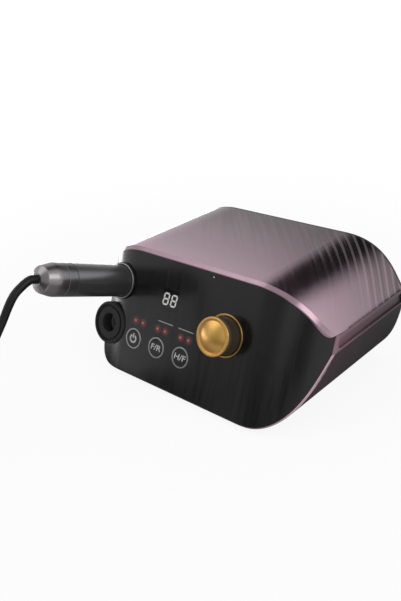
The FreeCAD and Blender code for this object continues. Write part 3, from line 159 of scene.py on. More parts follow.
def show_mesh(mesh: Mesh, name: str, sharp: float = SHARP) -> Object:
    """Put a mesh in the scene, smooth but for its sharp edges.

    Args:
        mesh: The finished mesh.
        name: Name for the object.
        sharp: Angle past which an edge stays sharp, in degrees.

    Returns:
        The object.
    """
    mesh.shade_smooth()
    mesh.set_sharp_from_angle(angle=math.radians(sharp))
    piece = bpy.data.objects.new(name, mesh)
    bpy.context.scene.collection.objects.link(piece)
    return piece


def take_mesh(holder: Object) -> Mesh:
    """Plain mesh that an object comes to with its curve or its modifier.

    Args:
        holder: The object, which isn't in the scene yet, and is removed.

    Returns:
        The mesh.
    """
    bpy.context.scene.collection.objects.link(holder)
    graph = bpy.context.evaluated_depsgraph_get()
    mesh = bpy.data.meshes.new_from_object(holder.evaluated_get(graph))
    bpy.data.objects.remove(holder)
    return mesh


def rounded(corners: Sequence[tuple[float, ...]], steps: int = 5) -> list[tuple[float, float]]:
    """Round the corners of an outline.

    Args:
        corners: Points (x, y), or (x, y, radius) where the corner is rounded.
        steps: Pieces that each rounding is drawn with.

    Returns:
        The outline's points.
    """
    outline: list[tuple[float, float]] = []
    for index, corner in enumerate(corners):
        here = Vector(corner[:2])
        if len(corner) < 3:
            outline.append(tuple(here))
            continue
        before = (Vector(corners[index - 1][:2]) - here).normalized()
        after = (Vector(corners[(index + 1) % len(corners)][:2]) - here).normalized()
        half = before.angle(after) / 2
        reach = corner[2] / math.tan(half)
        middle = here + (before + after).normalized() * (corner[2] / math.sin(half))
        first, last = here + before * reach - middle, here + after * reach - middle
        sweep = first.angle_signed(last)
        for step in range(steps + 1):
            outline.append(tuple(middle + Matrix.Rotation(-sweep * step / steps, 2) @ first))
    return outline


def turned(profile: Sequence[tuple[float, float]], sides: int = 96) -> BMesh:
    """Turn a closed profile about Z, as on a lathe.

    Args:
        profile: Points (radius, height); a radius of nought is a pole.
        sides: Steps round the axis.

    Returns:
        The turned shape.
    """
    shape = bmesh.new()
    rings = []
    for radius, height in profile:
        angles = [TURN * side / sides for side in range(sides)] if radius > 1e-6 else [0.0]
        rings.append([shape.verts.new((radius * math.cos(angle), radius * math.sin(angle), height))
                      for angle in angles])
    for low, high in zip(rings, [*rings[1:], rings[0]]):
        for side in range(sides):
            after = (side + 1) % sides
            spots = dict.fromkeys((low[side % len(low)], low[after % len(low)],
                                   high[after % len(high)], high[side % len(high)]))
            if len(spots) > 2:
                shape.faces.new(list(spots))
    return shape


def flat_ring(size: Sequence[float], rounds: Sequence[float], steps: int, sides: int = 96) -> BMesh:
    """Ring about Z of an inner radius, an outer one and a height, its outer and inner top edge rounded."""
    (inner, outer, high), (soft, crisp) = size, rounds
    return turned(rounded([(inner, 0), (outer, 0), (outer, high, soft), (inner, high, crisp)], steps), sides)


def bar(left: float, low: float, right: float, high: float, soft: float) -> list[tuple[float, float]]:
    """Outline of a bar whose corners are rounded to a soft radius."""
    return rounded([(left, low, soft), (right, low, soft), (right, high, soft), (left, high, soft)], 3)


def plate(outline: Sequence[tuple[float, float]], thick: float) -> BMesh:
    """Thin plate of a flat outline, standing on the drawing's zero.

    Args:
        outline: Points (x, y) in order.
        thick: Height of the top.

    Returns:
        The plate.
    """
    shape = bmesh.new()
    face = shape.faces.new([shape.verts.new((x, y, 0)) for x, y in outline])
    grown = bmesh.ops.extrude_face_region(shape, geom=[face])
    raised = [item for item in grown["geom"] if isinstance(item, bmesh.types.BMVert)]
    bmesh.ops.translate(shape, verts=raised, vec=(0, 0, thick))
    return shape


def bead(stretch: Matrix) -> BMesh:
    """Small round tooth of a knurl.

    Args:
        stretch: Its width, length and height, with its turn.

    Returns:
        The tooth.
    """
    shape = bmesh.new()
    bmesh.ops.create_icosphere(shape, subdivisions=2, radius=0.5)
    bmesh.ops.transform(shape, matrix=stretch, verts=shape.verts)
    return shape


def joined(shapes: Iterable[tuple[BMesh, Matrix]]) -> BMesh:
    """Put several drawn shapes together as one.

    Args:
        shapes: Shapes with the matrix that places each; they are freed.

    Returns:
        The joined shape.
    """
    whole = bmesh.new()
    for shape, place in shapes:
        bmesh.ops.transform(shape, matrix=place, verts=shape.verts)
        mesh = bpy.data.meshes.new("joining")
        shape.to_mesh(mesh)
        shape.free()
        whole.from_mesh(mesh)
        bpy.data.meshes.remove(mesh)
    return whole


def dress(piece: Object, material: Material) -> None:
    """Give a piece one finish all over.

    Args:
        piece: A piece of the scene, or a node of the frame.
        material: The finish.
    """
    if not piece.material_slots:
        piece.data.materials.append(material)
    for slot in piece.material_slots:
        slot.material = material


# Nodes


class Kind(Enum):
    """Kinds of node: the type, the output that is used, and the settings."""

    ABSOLUTE = "ShaderNodeMath", "Value", {"operation": "ABSOLUTE"}
    ADD = "ShaderNodeMath", "Value", {"operation": "ADD"}
    ANGLE = "ShaderNodeMath", "Value", {"operation": "ARCTAN2"}
    DIVIDE = "ShaderNodeMath", "Value", {"operation": "DIVIDE"}
    LARGER = "ShaderNodeMath", "Value", {"operation": "MAXIMUM"}
    MULTIPLY = "ShaderNodeMath", "Value", {"operation": "MULTIPLY"}
    POWER = "ShaderNodeMath", "Value", {"operation": "POWER"}
    ROOT = "ShaderNodeMath", "Value", {"operation": "SQRT"}
    SINE = "ShaderNodeMath", "Value", {"operation": "SINE"}
    SUBTRACT = "ShaderNodeMath", "Value", {"operation": "SUBTRACT"}
    WRAP = "ShaderNodeMath", "Value", {"operation": "WRAP"}
    SMOOTH = "ShaderNodeMapRange", "Result", {"interpolation_type": "SMOOTHSTEP"}
    MIX = "ShaderNodeMix", "Result", {}
    BLEND = "ShaderNodeMix", "Result", {"data_type": "RGBA"}
    RAMP = "ShaderNodeValToRGB", "Color", {}
    NOISE = "ShaderNodeTexNoise", "Fac", {}
    RINGS = "ShaderNodeTexNoise", "Fac", {"noise_dimensions": "1D"}
    SQUARES = "ShaderNodeTexVoronoi", "Distance", {"distance": "CHEBYCHEV"}
    BUMP = "ShaderNodeBump", "Normal", {}
    X = "ShaderNodeSeparateXYZ", "X", {}
    Y = "ShaderNodeSeparateXYZ", "Y", {}
    Z = "ShaderNodeSeparateXYZ", "Z", {}
    VECTOR = "ShaderNodeCombineXYZ", "Vector", {}
    PLACE = "ShaderNodeTexCoord", "Object", {}
    DIRECTION = "ShaderNodeTexCoord", "Generated", {}
    MAPPING = "ShaderNodeMapping", "Vector", {}
    TRUE_NORMAL = "ShaderNodeNewGeometry", "True Normal", {}
    CAMERA_RAY = "ShaderNodeLightPath", "Is Camera Ray", {}
    MIRROR_RAY = "ShaderNodeLightPath", "Is Glossy Ray", {}
    GLASS_RAY = "ShaderNodeLightPath", "Is Transmission Ray", {}
    PRINCIPLED = "ShaderNodeBsdfPrincipled", "BSDF", {}
    MATT = "ShaderNodeBsdfDiffuse", "BSDF", {}
    GLOW = "ShaderNodeEmission", "Emission", {}
    MIX_SHADERS = "ShaderNodeMixShader", "Shader", {}
    SURFACE = "ShaderNodeOutputMaterial", "", {}
    ROOM = "ShaderNodeBackground", "Background", {}
    WORLD = "ShaderNodeOutputWorld", "", {}
    GIVEN = "NodeGroupInput", "Shape", {}
    CIRCLE = "GeometryNodeMeshCircle", "Mesh", {}
    LINE = "GeometryNodeMeshLine", "Mesh", {}
    NUMBER = "GeometryNodeInputIndex", "Index", {}
    SHAPE = "GeometryNodeObjectInfo", "Geometry", {}
    COPIES = "GeometryNodeInstanceOnPoints", "Instances", {}
    REAL = "GeometryNodeRealizeInstances", "Geometry", {}
    DRESSED = "GeometryNodeSetMaterial", "Geometry", {}
    RESULT = "NodeGroupOutput", "", {}


def linear(hex_code: str) -> tuple[float, ...]:
    """Turn an sRGB hex colour to linear values.

    Args:
        hex_code: Colour such as "#1c1c1d".

    Returns:
        Red, green, blue and an alpha of 1.
    """
    shares = [int(hex_code[at:at + 2], 16) / 255 for at in (1, 3, 5)]
    curve = [share / 12.92 if share <= 0.04045 else ((share + 0.055) / 1.055) ** 2.4 for share in shares]
    return (*curve, 1.0)


class NodeGraph:
    """A node tree and the one way to add a node to it."""

    def __init__(self, tree: NodeTree) -> None:
        """Take over a tree, which is emptied."""
        tree.nodes.clear()
        self.tree = tree

    def feed(self, socket: NodeSocket, value: object) -> None:
        """Set or link an input.

        Args:
            socket: The input.
            value: A plain value, an sRGB hex colour, or the output that feeds it.
        """
        if isinstance(value, NodeSocket):
            self.tree.links.new(value, socket)
        else:
            socket.default_value = linear(value) if isinstance(value, str) else value

    def add(self, kind: Kind, *inputs: object, **named: object) -> NodeSocket | None:
        """Add one node with its settings and links.

        Args:
            kind: The kind of node.
            inputs: What feeds its open inputs, in their order.
            named: What feeds more of its inputs, by their names.

        Returns:
            The output that is used, if it has one.
        """
        node_type, output, settings = kind.value
        node = self.tree.nodes.new(node_type)
        for name, value in settings.items():
            setattr(node, name, value)
        for socket, value in zip([socket for socket in node.inputs if socket.enabled], inputs):
            self.feed(socket, value)
        for name, value in named.items():
            self.feed(node.inputs[name], value)
        return {socket.name: socket for socket in node.outputs if socket.enabled}.get(output)

    def coordinates(self, scale: Sequence[float] = (1, 1, 1), centre: Vector | None = None,
                    turn: Sequence[float] = (0, 0, 0)) -> NodeSocket:
        """Object coordinates in millimetres, moved, turned and stretched.

        Args:
            scale: Stretch along each axis after the turn.
            centre: Place in millimetres that becomes the pattern's middle.
            turn: Turn about each axis, in radians.

        Returns:
            The coordinates' socket.
        """
        spot = self.add(Kind.PLACE)
        middle = (centre or Vector()) * MM
        for change in ({"Location": -middle}, {"Rotation": turn}, {"Scale": [share / MM for share in scale]}):
            spot = self.add(Kind.MAPPING, spot, **change)
        return spot

    def length(self, *sides: NodeSocket) -> NodeSocket:
        """Length of a slanting line, from how far it runs along either axis."""
        return self.add(Kind.ROOT, self.add(Kind.ADD, *(self.add(Kind.POWER, side, 2.0) for side in sides)))


# Finishes


@dataclass(frozen=True)
class Finish:
    """A plain surface; kinds of finish add their own pattern.

    A metal keeps the shader's own index of refraction. The gloss of a patterned finish varies by its haze, to
    the smooth side and to the rough side.
    """

    name: str
    colour: str
    roughness: float
    metallic: float = 0.0
    specular: float = 0.5
    light: str = "#ffffff"
    coat: float = 0.0
    coat_roughness: float = 0.3
    haze: tuple[float, float] = (0.05, 0.08)

    def build(self) -> Material:
        """Make the material.

        Returns:
            The material, its pattern wired in.
        """
        material = bpy.data.materials.new(self.name)
        material.use_nodes = True
        material.diffuse_color = linear(self.colour)
        tree = NodeGraph(material.node_tree)
        shader = tree.add(Kind.PRINCIPLED, **{
            "Base Color": self.colour,
            "Roughness": self.roughness,
            "Metallic": self.metallic,
            "Specular IOR Level": self.specular,
            "Coat Weight": self.coat,
            "Coat Roughness": self.coat_roughness,
        })
        tree.add(Kind.SURFACE, shader)
        for name, value in self.pattern(tree).items():
            tree.feed(shader.node.inputs[name], value)
        return material

    def pattern(self, tree: NodeGraph) -> dict[str, object]:
        """Outputs and plain values that this finish's pattern feeds into the shader, by input."""
        return {}

    def shade(self, tree: NodeGraph, noise: NodeSocket, low: float = NOISE_LOW,
              high: float = NOISE_HIGH) -> NodeSocket:
        """Colour that a noise shifts from this finish's own, where it is low, to its light one."""
        return tree.add(Kind.BLEND, tree.add(Kind.SMOOTH, noise, low, high), self.colour, self.light)

    def gloss(self, tree: NodeGraph, noise: NodeSocket, low: float = 0.3) -> NodeSocket:
        """Roughness that a noise varies within the haze, smoothest where it is low."""
        less, more = self.haze
        return tree.add(Kind.SMOOTH, noise, low, NOISE_HIGH, self.roughness - less, self.roughness + more)


@dataclass(frozen=True)
class AnodisedSheet(Finish):
    """Anodised aluminium sheet, brushed on the slant: its streaks stand upright in a three-quarter view.

    The colour is painted lighter from the rear to the front, as painted light. The bevel that is cut along
    the front edge after anodising shows brighter, and fades out where the edge runs on to the left. Where
    flute_mm is set, soft rolled flutes cross the sheet, strongest on the right shoulder at the rear: a slight
    bump and rougher gloss, with the bands painted lighter as a painted reflection.
    """

    light: str = "#b3a0a6"
    # Colours and reaches of the painted light, lighter towards the middle and the front.
    front: str = "#c6a8b6"
    painted_light_front_from: tuple[float, float] = (25.0, -60.0)
    middle: str = "#96828b"
    painted_light_middle_from: tuple[float, float] = (70.0, 5.0)
    edge: str = "#9a828c"
    edge_fade: tuple[float, float] = (-86.0, -78.0)
    edge_facing: tuple[float, float] = (-0.12, -0.3)
    haze: tuple[float, float] = (0.02, 0.03)
    streak_mm: float = 3.0
    streak_share: float = 0.2
    streak_stretch: float = 0.012
    streak_deep: float = 0.012
    grain_mm: float = 0.7
    grain_deep: float = 0.003
    slant: float = math.radians(43)
    flute_mm: float = 0.0
    flute_wave: tuple[float, float] = (0.1, 1.0)
    flute_painted_highlight: float = 0.4
    flute_haze: float = 0.22
    flute_deep: float = 0.05
    flute_rear: tuple[float, float] = (2.0, 46.0)
    flute_side: tuple[float, float] = (32.0, 58.0)

    def pattern(self, tree: NodeGraph) -> dict[str, object]:
        """Streaks in colour and gloss, the bright bevel, the flutes, and painted light towards the front.

        Args:
            tree: The material's nodes.

        Returns:
            What feeds the shader, by input.
        """
        along = tree.coordinates(turn=(0, 0, -self.slant))
        streak, grain = (self.lines(tree, along, wide) for wide in (self.streak_mm, self.grain_mm))
        spot = tree.coordinates()
        side, back = tree.add(Kind.X, spot), tree.add(Kind.Y, spot)
        colour: NodeSocket | str = self.colour
        # Painted light: the sheet is painted lighter towards the middle, then towards the front.
        for reach, further in ((self.painted_light_middle_from, self.middle), (self.painted_light_front_from, self.front)):
            colour = tree.add(Kind.BLEND, tree.add(Kind.SMOOTH, back, *reach), colour, further)
        share = tree.add(Kind.SMOOTH, streak, NOISE_LOW, NOISE_HIGH)
        share = tree.add(Kind.MULTIPLY, share, self.streak_share)
        colour = tree.add(Kind.BLEND, share, colour, self.light)
        # The cut bevel is the only part of the sheet that faces forward.
        facing = tree.add(Kind.SMOOTH, tree.add(Kind.Y, tree.add(Kind.TRUE_NORMAL)), *self.edge_facing)
        bevel = tree.add(Kind.MULTIPLY, facing, tree.add(Kind.SMOOTH, side, *self.edge_fade))
        gloss = self.gloss(tree, streak)
        height = tree.add(Kind.ADD, tree.add(Kind.MULTIPLY, streak, self.streak_deep),
                          tree.add(Kind.MULTIPLY, grain, self.grain_deep))
        if self.flute_mm:
            flute = self.flutes(tree, tree.add(Kind.X, along), side, back)
            # Painted reflection: the flutes are painted lighter, besides their real bump and gloss.
            share = tree.add(Kind.MULTIPLY, flute, self.flute_painted_highlight)
            colour = tree.add(Kind.BLEND, share, colour, self.light)
            gloss = tree.add(Kind.ADD, gloss, tree.add(Kind.MULTIPLY, flute, self.flute_haze))
            height = tree.add(Kind.ADD, height, tree.add(Kind.MULTIPLY, flute, self.flute_deep))
        return {"Base Color": tree.add(Kind.BLEND, bevel, colour, self.edge), "Roughness": gloss,
                "Normal": tree.add(Kind.BUMP, Height=height, Distance=MM)}

    def lines(self, tree: NodeGraph, along: NodeSocket, wide_mm: float) -> NodeSocket:
        """Uneven streaks of one width.

        Args:
            tree: The material's nodes.
            along: Coordinates whose X runs across the streaks.
            wide_mm: Width of a streak.

        Returns:
            The pattern's socket.
        """
        stretch = self.streak_stretch
        place = tree.add(Kind.MAPPING, along, Scale=(1 / wide_mm, stretch, stretch))
        return tree.add(Kind.NOISE, place, Scale=1.0, Detail=2.0, Roughness=0.55)

    def flutes(self, tree: NodeGraph, across: NodeSocket, side: NodeSocket, back: NodeSocket) -> NodeSocket:
        """Soft bands across the shoulder that fade towards the front and the top.

        Args:
            tree: The material's nodes.
            across: Distance across the flutes.
            side: Distance to the right.
            back: Distance to the rear.

        Returns:
            Their strength's socket, from nought to one.
        """
        wave = tree.add(Kind.SINE, tree.add(Kind.MULTIPLY, across, TURN / self.flute_mm))
        wave = tree.add(Kind.SMOOTH, wave, *self.flute_wave)
        rear = tree.add(Kind.SMOOTH, back, *self.flute_rear)
        right = tree.add(Kind.SMOOTH, side, *self.flute_side)
        return tree.add(Kind.MULTIPLY, wave, tree.add(Kind.MULTIPLY, rear, right))


@dataclass(frozen=True)
class RailStrip(Finish):
    """Anodised side rail: painted highlight on its raised rim, painted shade in its channel."""

    haze: tuple[float, float] = (0.04, 0.06)
    # Rim and channel colours carry painted highlight and painted shade, lighter towards the front.
    rim: str = "#57494f"
    rim_front_painted_lit: str = "#a17e89"
    channel_front_painted_lit: str = "#8c6674"
    rim_highlight_from: tuple[float, float] = (98.8, 99.4)
    painted_light_front_from: tuple[float, float] = (60.0, -60.0)
    grain_scale: float = 1.2
    grain_stretch: float = 0.03

    def pattern(self, tree: NodeGraph) -> dict[str, object]:
        """Painted light by how far out it lies and how far forward, with fine grain along the rail.

        Args:
            tree: The material's nodes.

        Returns:
            What feeds the shader, by input.
        """
        spot = tree.coordinates()
        # Painted highlight on the rim, painted shade in the channel, and painted light towards the front.
        outer = tree.add(Kind.SMOOTH, tree.add(Kind.ABSOLUTE, tree.add(Kind.X, spot)), *self.rim_highlight_from)
        forward = tree.add(Kind.SMOOTH, tree.add(Kind.Y, spot), *self.painted_light_front_from)
        place = tree.coordinates((1, self.grain_stretch, 1))
        grain = tree.add(Kind.NOISE, place, Scale=self.grain_scale, Detail=2.0)
        channel = tree.add(Kind.BLEND, forward, self.colour, self.channel_front_painted_lit)
        rim = tree.add(Kind.BLEND, forward, self.rim, self.rim_front_painted_lit)
        return {"Base Color": tree.add(Kind.BLEND, outer, channel, rim), "Roughness": self.gloss(tree, grain)}


@dataclass(frozen=True)
class GlossAcrylic(Finish):
    """Gloss acrylic or polished ABS: hard, nearly mirror-smooth, with faint upright draw lines."""

    specular: float = 0.42
    haze: tuple[float, float] = (0.03, 0.05)
    line_mm: float = 3.2
    line_stretch: float = 0.02

    def pattern(self, tree: NodeGraph) -> dict[str, object]:
        """Upright lines in colour and gloss.

        Args:
            tree: The material's nodes.

        Returns:
            What feeds the shader, by input.
        """
        place = tree.coordinates((1 / self.line_mm, self.line_stretch, self.line_stretch))
        line = tree.add(Kind.NOISE, place, Scale=1.0, Detail=2.0, Roughness=0.55)
        return {"Base Color": self.shade(tree, line), "Roughness": self.gloss(tree, line)}


@dataclass(frozen=True)
class MouldedPlastic(Finish):
    """Injection-moulded plastic with a spark-eroded grain, drawn coarse enough to show."""

    grain_mm: float = 0.7
    deep_mm: float = 0.02

    def pattern(self, tree: NodeGraph) -> dict[str, object]:
        """Grain in height and gloss.

        Args:
            tree: The material's nodes.

        Returns:
            What feeds the shader, by input.
        """
        grain = tree.add(Kind.NOISE, tree.coordinates(), Scale=1 / self.grain_mm, Detail=2.0, Roughness=0.6)
        return {"Roughness": self.gloss(tree, grain),
                "Normal": tree.add(Kind.BUMP, Height=grain, Distance=self.deep_mm * MM)}


@dataclass(frozen=True)
class TurnedMetal(Finish):
    """Metal turned on a lathe: fine tool rings about an axis that stands square to the tilted front.

    The rings lie round the axis, or one behind the other along it, and an end colour can show past a reach.
    """

    haze: tuple[float, float] = (0.035, 0.035)
    axis: tuple[float, float] = KNOB_AXIS
    ring_mm: float = 0.9
    deep_mm: float = 0.004
    along: bool = False
    end: str = ""
    end_reach: tuple[float, float] = (59.0, 68.0)

    def pattern(self, tree: NodeGraph) -> dict[str, object]:
        """Rings in colour, gloss and height, and the end's colour.

        Args:
            tree: The material's nodes.

        Returns:
            What feeds the shader, by input.
        """
        spot = tree.coordinates(centre=FRONT.spot(*self.axis), turn=(FRONT.tilt - QUARTER, 0, 0))
        if self.along:
            reach = tree.add(Kind.Z, spot)
        else:
            reach = tree.length(tree.add(Kind.X, spot), tree.add(Kind.Y, spot))
        ring = tree.add(Kind.RINGS, tree.add(Kind.MULTIPLY, reach, 1 / self.ring_mm),
                        Scale=1.0, Detail=3.0, Roughness=0.7)
        colour = self.shade(tree, ring, high=0.65)
        if self.end:
            colour = tree.add(Kind.BLEND, tree.add(Kind.SMOOTH, reach, *self.end_reach), colour, self.end)
        return {"Base Color": colour, "Roughness": self.gloss(tree, ring),
                "Normal": tree.add(Kind.BUMP, Height=ring, Distance=self.deep_mm * MM)}


@dataclass(frozen=True)
class PlatedMetal(Finish):
    """Bright plating over a polished part: a mirror with slight waviness and wiping marks."""

    haze: tuple[float, float] = (0.0, 0.12)
    wave_mm: float = 6.0

    def pattern(self, tree: NodeGraph) -> dict[str, object]:
        """Wiping marks in gloss."""
        mark = tree.add(Kind.NOISE, tree.coordinates(), Scale=1 / self.wave_mm, Detail=4.0, Roughness=0.65)
        return {"Roughness": self.gloss(tree, mark, NOISE_LOW)}


@dataclass(frozen=True)
class SoftJacket(Finish):
    """Soft PVC or rubber: a dull sheen that is a little uneven from handling."""

    light: str = "#232324"
    haze: tuple[float, float] = (0.06, 0.08)
    patch_mm: float = 9.0
    skin_scale: float = 1.6
    skin_deep_mm: float = 0.01

    def pattern(self, tree: NodeGraph) -> dict[str, object]:
        """Patches in colour and gloss, and a fine skin.

        Args:
            tree: The material's nodes.

        Returns:
            What feeds the shader, by input.
        """
        place = tree.coordinates()
        patch = tree.add(Kind.NOISE, place, Scale=1 / self.patch_mm, Detail=3.0)
        skin = tree.add(Kind.NOISE, place, Scale=self.skin_scale, Detail=2.0)
        return {"Base Color": self.shade(tree, patch), "Roughness": self.gloss(tree, patch),
                "Normal": tree.add(Kind.BUMP, Height=skin, Distance=self.skin_deep_mm * MM)}


@dataclass(frozen=True)
class LitOrPaintedGlowMark(Finish):
    """Lit segment of the display, or print that glows a little as painted light though it is no lamp."""

    glow: float = 0.05

    def pattern(self, tree: NodeGraph) -> dict[str, object]:
        """Glow, set on the shader's own sockets."""
        return {"Emission Color": self.colour, "Emission Strength": self.glow}


@dataclass(frozen=True)
class LampGlow(Finish):
    """Red lamps behind the gloss front: each is palest in its middle and fades out round its lens.

    The first pair stands at across and up; pitch is from pair to pair, and apart is between a pair's two.
    """

    pale: str = "#a8625c"
    dark: str = "#0d0d0e"
    across: float = -42.8
    up: float = 41.5
    pitch: float = 22.3
    apart: float = 7.4
    pale_reach: tuple[float, float] = (1.5, 0.2)
    dark_reach: tuple[float, float] = (1.5, 4.0)
    glow_reach: tuple[float, float] = (3.9, 0.5)
    glow: float = 0.35

    def pattern(self, tree: NodeGraph) -> dict[str, object]:
        """Colour by the distance from the nearest lamp's middle.

        Args:
            tree: The material's nodes.

        Returns:
            What feeds the shader, by input.
        """
        spot = tree.coordinates(centre=FRONT.spot(self.across, self.up), turn=(FRONT.tilt - QUARTER, 0, 0))
        near = tree.add(Kind.WRAP, tree.add(Kind.X, spot), self.pitch / 2, -self.pitch / 2)
        aside = tree.add(Kind.SUBTRACT, tree.add(Kind.ABSOLUTE, near), self.apart / 2)
        away = tree.length(aside, tree.add(Kind.Y, spot))
        colour = tree.add(Kind.BLEND, tree.add(Kind.SMOOTH, away, *self.dark_reach), self.colour, self.dark)
        colour = tree.add(Kind.BLEND, tree.add(Kind.SMOOTH, away, *self.pale_reach), colour, self.pale)
        return {"Base Color": colour, "Emission Color": colour,
                "Emission Strength": tree.add(Kind.SMOOTH, away, *self.glow_reach, 0.0, self.glow)}


@dataclass(frozen=True)
class Striped(Finish):
    """Layers or windings that show as fine stripes along one axis, such as stacked sheets or wire."""

    stripe_mm: float = 0.8
    deep_mm: float = 0.08
    axis: Kind = Kind.Z

    def pattern(self, tree: NodeGraph) -> dict[str, object]:
        """Stripes in colour and height.

        Args:
            tree: The material's nodes.

        Returns:
            What feeds the shader, by input.
        """
        along = tree.add(self.axis, tree.coordinates())
        wave = tree.add(Kind.SINE, tree.add(Kind.MULTIPLY, along, TURN / self.stripe_mm))
        height = tree.add(Kind.SMOOTH, wave, -1.0, 1.0)
        return {"Base Color": self.shade(tree, wave, -1.0, 1.0),
                "Normal": tree.add(Kind.BUMP, Height=height, Distance=self.deep_mm * MM)}


@dataclass(frozen=True)
class BoardLaminate(Finish):
    """Glass-fibre board under solder mask, with paler copper lands showing through."""

    light: str = "#2f7a45"
    land_scale: float = 0.22
    land_reach: tuple[float, float] = (0.2, 0.1)

    def pattern(self, tree: NodeGraph) -> dict[str, object]:
        """Square lands in colour."""
        land = tree.add(Kind.SQUARES, tree.coordinates(), Scale=self.land_scale)
        return {"Base Color": self.shade(tree, land, *self.land_reach)}


def make_finishes() -> dict[str, Material]:
    """Build every finish of the object once.

    Returns:
        The materials by short names.
    """
    hand = {"axis": HAND_AXIS, "along": True, "haze": (0.01, 0.01), "ring_mm": 1.4, "deep_mm": 0.0001}
    wanted = {
        # Painted light: the sheets and the rail are painted lighter towards the front.
        "skin": AnodisedSheet("Anodised rose sheet", "#675c60", 0.205, 0.97, flute_mm=5.8),
        "tray": AnodisedSheet("Anodised dark sheet", "#2a2829", 0.45, 0.0, specular=0.1, light="#3c3738",
                              front="#4a383d", middle="#3b3537", edge="#c6a8b1", edge_fade=(58.0, 96.0)),
        # Painted highlight on the rail's rim and painted shade in its channel.
        "rail": RailStrip("Anodised rail", "#4a3f44", 0.38, 0.5),
        "front": GlossAcrylic("Gloss black acrylic", "#0d0d0e", 0.2, light="#131314"),
        "lens": GlossAcrylic("Smoked window", "#070708", 0.1, light="#0a0a0b"),
        "cap_black": GlossAcrylic("Black key cap", "#0e0e0f", 0.16, light="#141415"),
        "rear": MouldedPlastic("Moulded grey ABS", "#262425", 0.45),
        "black": MouldedPlastic("Moulded black ABS", "#131314", 0.42),
        "satin_black": MouldedPlastic("Satin black nylon", "#222223", 0.4, grain_mm=0.5, deep_mm=0.01),
        "gold": TurnedMetal("Gold anodised cap", "#cf9f4c", 0.38, 1.0, light="#d3a452", deep_mm=0.0002,
                            coat=0.8),
        "gold_ring": PlatedMetal("Gold plated ring", "#b08c58", 0.24, 1.0),
        "knob_side": TurnedMetal("Black anodised knob", "#4c463d", 0.4, 0.5, light="#514b43"),
        "socket": TurnedMetal("Turned black socket", "#303031", 0.5, 0.0, specular=0.06, light="#363637",
                              ring_mm=1.6, axis=SOCKET_AXIS),
        "insert": MouldedPlastic("Black socket insert", "#636364", 0.5, specular=0.1, grain_mm=0.5,
                                 deep_mm=0.01),
        "grip": TurnedMetal("Black anodised grip", "#828284", 0.3, 0.9, light="#848486", **hand),
        "tail": TurnedMetal("Grey anodised tail", "#7a7a7c", 0.28, 0.9, light="#7c7c7e", end="#8b8789",
                            **hand),
        "chrome": PlatedMetal("Bright chrome", "#c9c9cc", 0.08, 1.0),
        "dull_ring": PlatedMetal("Dull nickel ring", "#8a8a8c", 0.28, 0.9),
        "ring_silver": PlatedMetal("Silver trim", "#9a9a9c", 0.3, 0.8),
        "steel": TurnedMetal("Turned steel", "#a9a9ad", 0.28, 1.0, light="#bcbcc0", ring_mm=0.7,
                             axis=HAND_AXIS),
        "zinc": PlatedMetal("Zinc plated steel", "#a4a6aa", 0.3, 1.0),
        "brass": PlatedMetal("Plain brass", "#c8a24e", 0.25, 1.0),
        "copper": Striped("Enamelled copper wire", "#8c3f1f", 0.3, 0.8, light="#c26a3c"),
        "iron": Striped("Stacked iron sheets", "#4a4a4e", 0.45, 0.9, light="#67676c", stripe_mm=0.7,
                        axis=Kind.Y),
        "board": BoardLaminate("Green board laminate", "#14532b", 0.4),
        "white_body": MouldedPlastic("White display body", "#d7d6d2", 0.45),
        "rubber": SoftJacket("Foot rubber", "#141414", 0.6),
        "jacket": SoftJacket("Black cord jacket", "#0f0f10", 0.42, specular=0.25, light="#161617"),
        "lamp": LampGlow("Red lamp lens", "#54161a", 0.25),
        "digit": LitOrPaintedGlowMark("Lit white segment", "#bcbcba", 0.35, glow=0.3),
        # The prints glow as painted light; they are no lamps.
        "print": LitOrPaintedGlowMark("White print", "#b4b4b3", 0.5, glow=0.1),
        "faint_print": LitOrPaintedGlowMark("Grey print", "#8f8f90", 0.5),
    }
    return {key: finish.build() for key, finish in wanted.items()}


# Repeats


class Layout(Enum):
    """How copies of a shape are laid out."""

    RING = "ring"
    ROW = "row"


